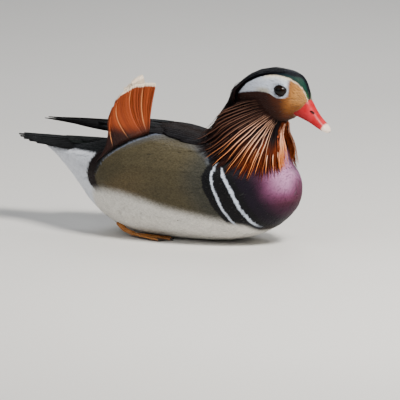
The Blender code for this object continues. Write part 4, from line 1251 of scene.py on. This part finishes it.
lid_finish = grained("lid_skin", 0.5, 1400.0, 3.0, "0b0908", "1c1613", 0.4, 0.0002)
LID_RADIUS = 5.85
LID_THICK = 0.42
LID_OUT = 15.2              # how far the lids stand from the middle of the head
for label, side in SIDES:
    eye = ball("eye_ball_" + label, EYE * [1, side, 1], EYE_RADIUS * np.array([1, 1, EYE_SQUASH]))
    eye.data.materials.append(eye_finish.material)
    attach(eye, "root")
    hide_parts("eye_" + label)
    bpy.ops.mesh.primitive_torus_add(major_segments=48, minor_segments=12, major_radius=1.0,
                                     minor_radius=LID_THICK / LID_RADIUS)
    lid = bpy.context.active_object
    lid.name = "lid_" + label
    ring = corners_of(lid) * MM * LID_RADIUS
    ring = np.column_stack([ring[:, 0], ring[:, 2], ring[:, 1] * EYE_SQUASH])
    move_corners(lid, ring + [EYE[0], side * LID_OUT, EYE[2]])
    if side < 0:
        lid.data.flip_normals()
    lid.data.shade_smooth()
    lid.data.materials.append(lid_finish.material)
    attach(lid, "root")


# The feet: orange yellow webbed toes folded flat beside the belly, with dark webs and small
# dark claws, and the shank drawn up into the feathers.
HEEL = np.array([-26.0, -33, 3.2])
TOES = np.array([(11.0, -26, 1.7), (14.0, -34, 1.7), (6.0, -42, 1.7)])
SHANK = [(-24, -33, 3.6), (-29, -32, 4.6), (-34, -31, 6), (-38, -29.5, 8), (-42, -28, 11)]
SHANK_RADII = [2.2, 2.2, 2.3, 2.5, 2.7]
WEB_WIDE, WEB_LONG = 17, 8  # corners across and along the web
TOE_SKIN, WEB_SKIN, CLAW_HORN = range(3)    # the order of a foot's materials


def tube(path, radii, flat, around=14):
    """A closed tube along a path, flattened in height. Returns its corners and faces."""
    path = np.array(path, dtype=float)
    run = unit_rows(np.gradient(path, axis=0))
    side = unit_rows(np.cross(run, [0, 0, 1.0]))
    up = np.cross(side, run)
    turns = 2 * math.pi * np.arange(around) / around
    corners = [path[k] + radii[k] * (side[k] * math.cos(turn) + up[k] * flat * math.sin(turn))
               for k in range(len(path)) for turn in turns]
    return corners, ring_faces(len(path), around)


def web():
    """The skin between the toes: a thin sheet from the heel to a rim that hangs between them."""
    between = (TOES[:-1] + TOES[1:]) / 2 - [2.6, 0, 0]
    ends = TOES - [1, 0, 0]
    rim = glide(np.array([ends[0], between[0], ends[1], between[1], ends[2]]), np.linspace(0, 1, WEB_WIDE))
    corners = []
    for height in (1.65, 1.05):
        for t in np.linspace(0.08, 1, WEB_LONG):
            corners += [(x, y, height + 0.9 * (1 - t)) for x, y, _ in HEEL + (rim - HEEL) * t]
    return corners, sheet_faces(WEB_WIDE, WEB_LONG)


def claw(toe):
    ahead = unit_rows(toe - HEEL)
    path = [toe - ahead * 0.8, toe + ahead * 0.6, toe + ahead * 1.6 - [0, 0, 0.3],
            toe + ahead * 2.4 - [0, 0, 0.8]]
    return tube(path, [0.9, 0.85, 0.55, 0.15], 1.0)


foot_finish = Finish("foot_skin", 0.5, Coat_Weight=0.1)
scales = foot_finish.node("ShaderNodeTexVoronoi", {"feature": "DISTANCE_TO_EDGE"},
                          {"Vector": foot_finish.place(), "Scale": 900.0})
grooves = scales.between(0.0, 0.12)
foot_base = foot_finish.mix(foot_finish.noise(200.0, 4.0), solid("b56a22"), solid("d08a3a"))
foot_finish.feed("Base Color", foot_finish.mix(grooves, solid("6b3a16"), foot_base))
foot_finish.feed("Normal", foot_finish.bump(grooves, 0.5, 0.0004))
web_finish = grained("web_skin", 0.55, 500.0, 4.0, "2b2420", "4a3a2e", 0.4, 0.0003)
claw_finish = grained("claw_horn", 0.35, 700.0, 3.0, "1a1512", "322822")
for label, side in SIDES:
    t = np.linspace(0, 1, 16)
    toe_radii = 1.75 - 0.75 * t + 0.18 * np.sin(t * 22)     # with joints as slight swellings
    parts = [(TOE_SKIN, tube(HEEL + (toe - HEEL) * t[:, None], toe_radii, 0.75)) for toe in TOES]
    parts.append((TOE_SKIN, tube(SHANK, SHANK_RADII, 0.9)))
    parts += [(CLAW_HORN, claw(toe)) for toe in TOES]
    parts.append((WEB_SKIN, web()))
    corners, faces = joined([shape for _, shape in parts])
    corners = np.maximum(np.array(corners) * [1, -side, 1], [-999, -999, 0.05])     # above the floor
    foot = new_mesh("foot_toes_" + label, corners, faces)
    for finish in (foot_finish, web_finish, claw_finish):
        foot.data.materials.append(finish.material)
    finish_of_face = np.repeat([kind for kind, _ in parts], [len(shape[1]) for _, shape in parts])
    foot.data.polygons.foreach_set("material_index", finish_of_face)
    face_outwards(foot)
    foot.data.shade_smooth()
    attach(foot, "root")
    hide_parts("foot_" + label)
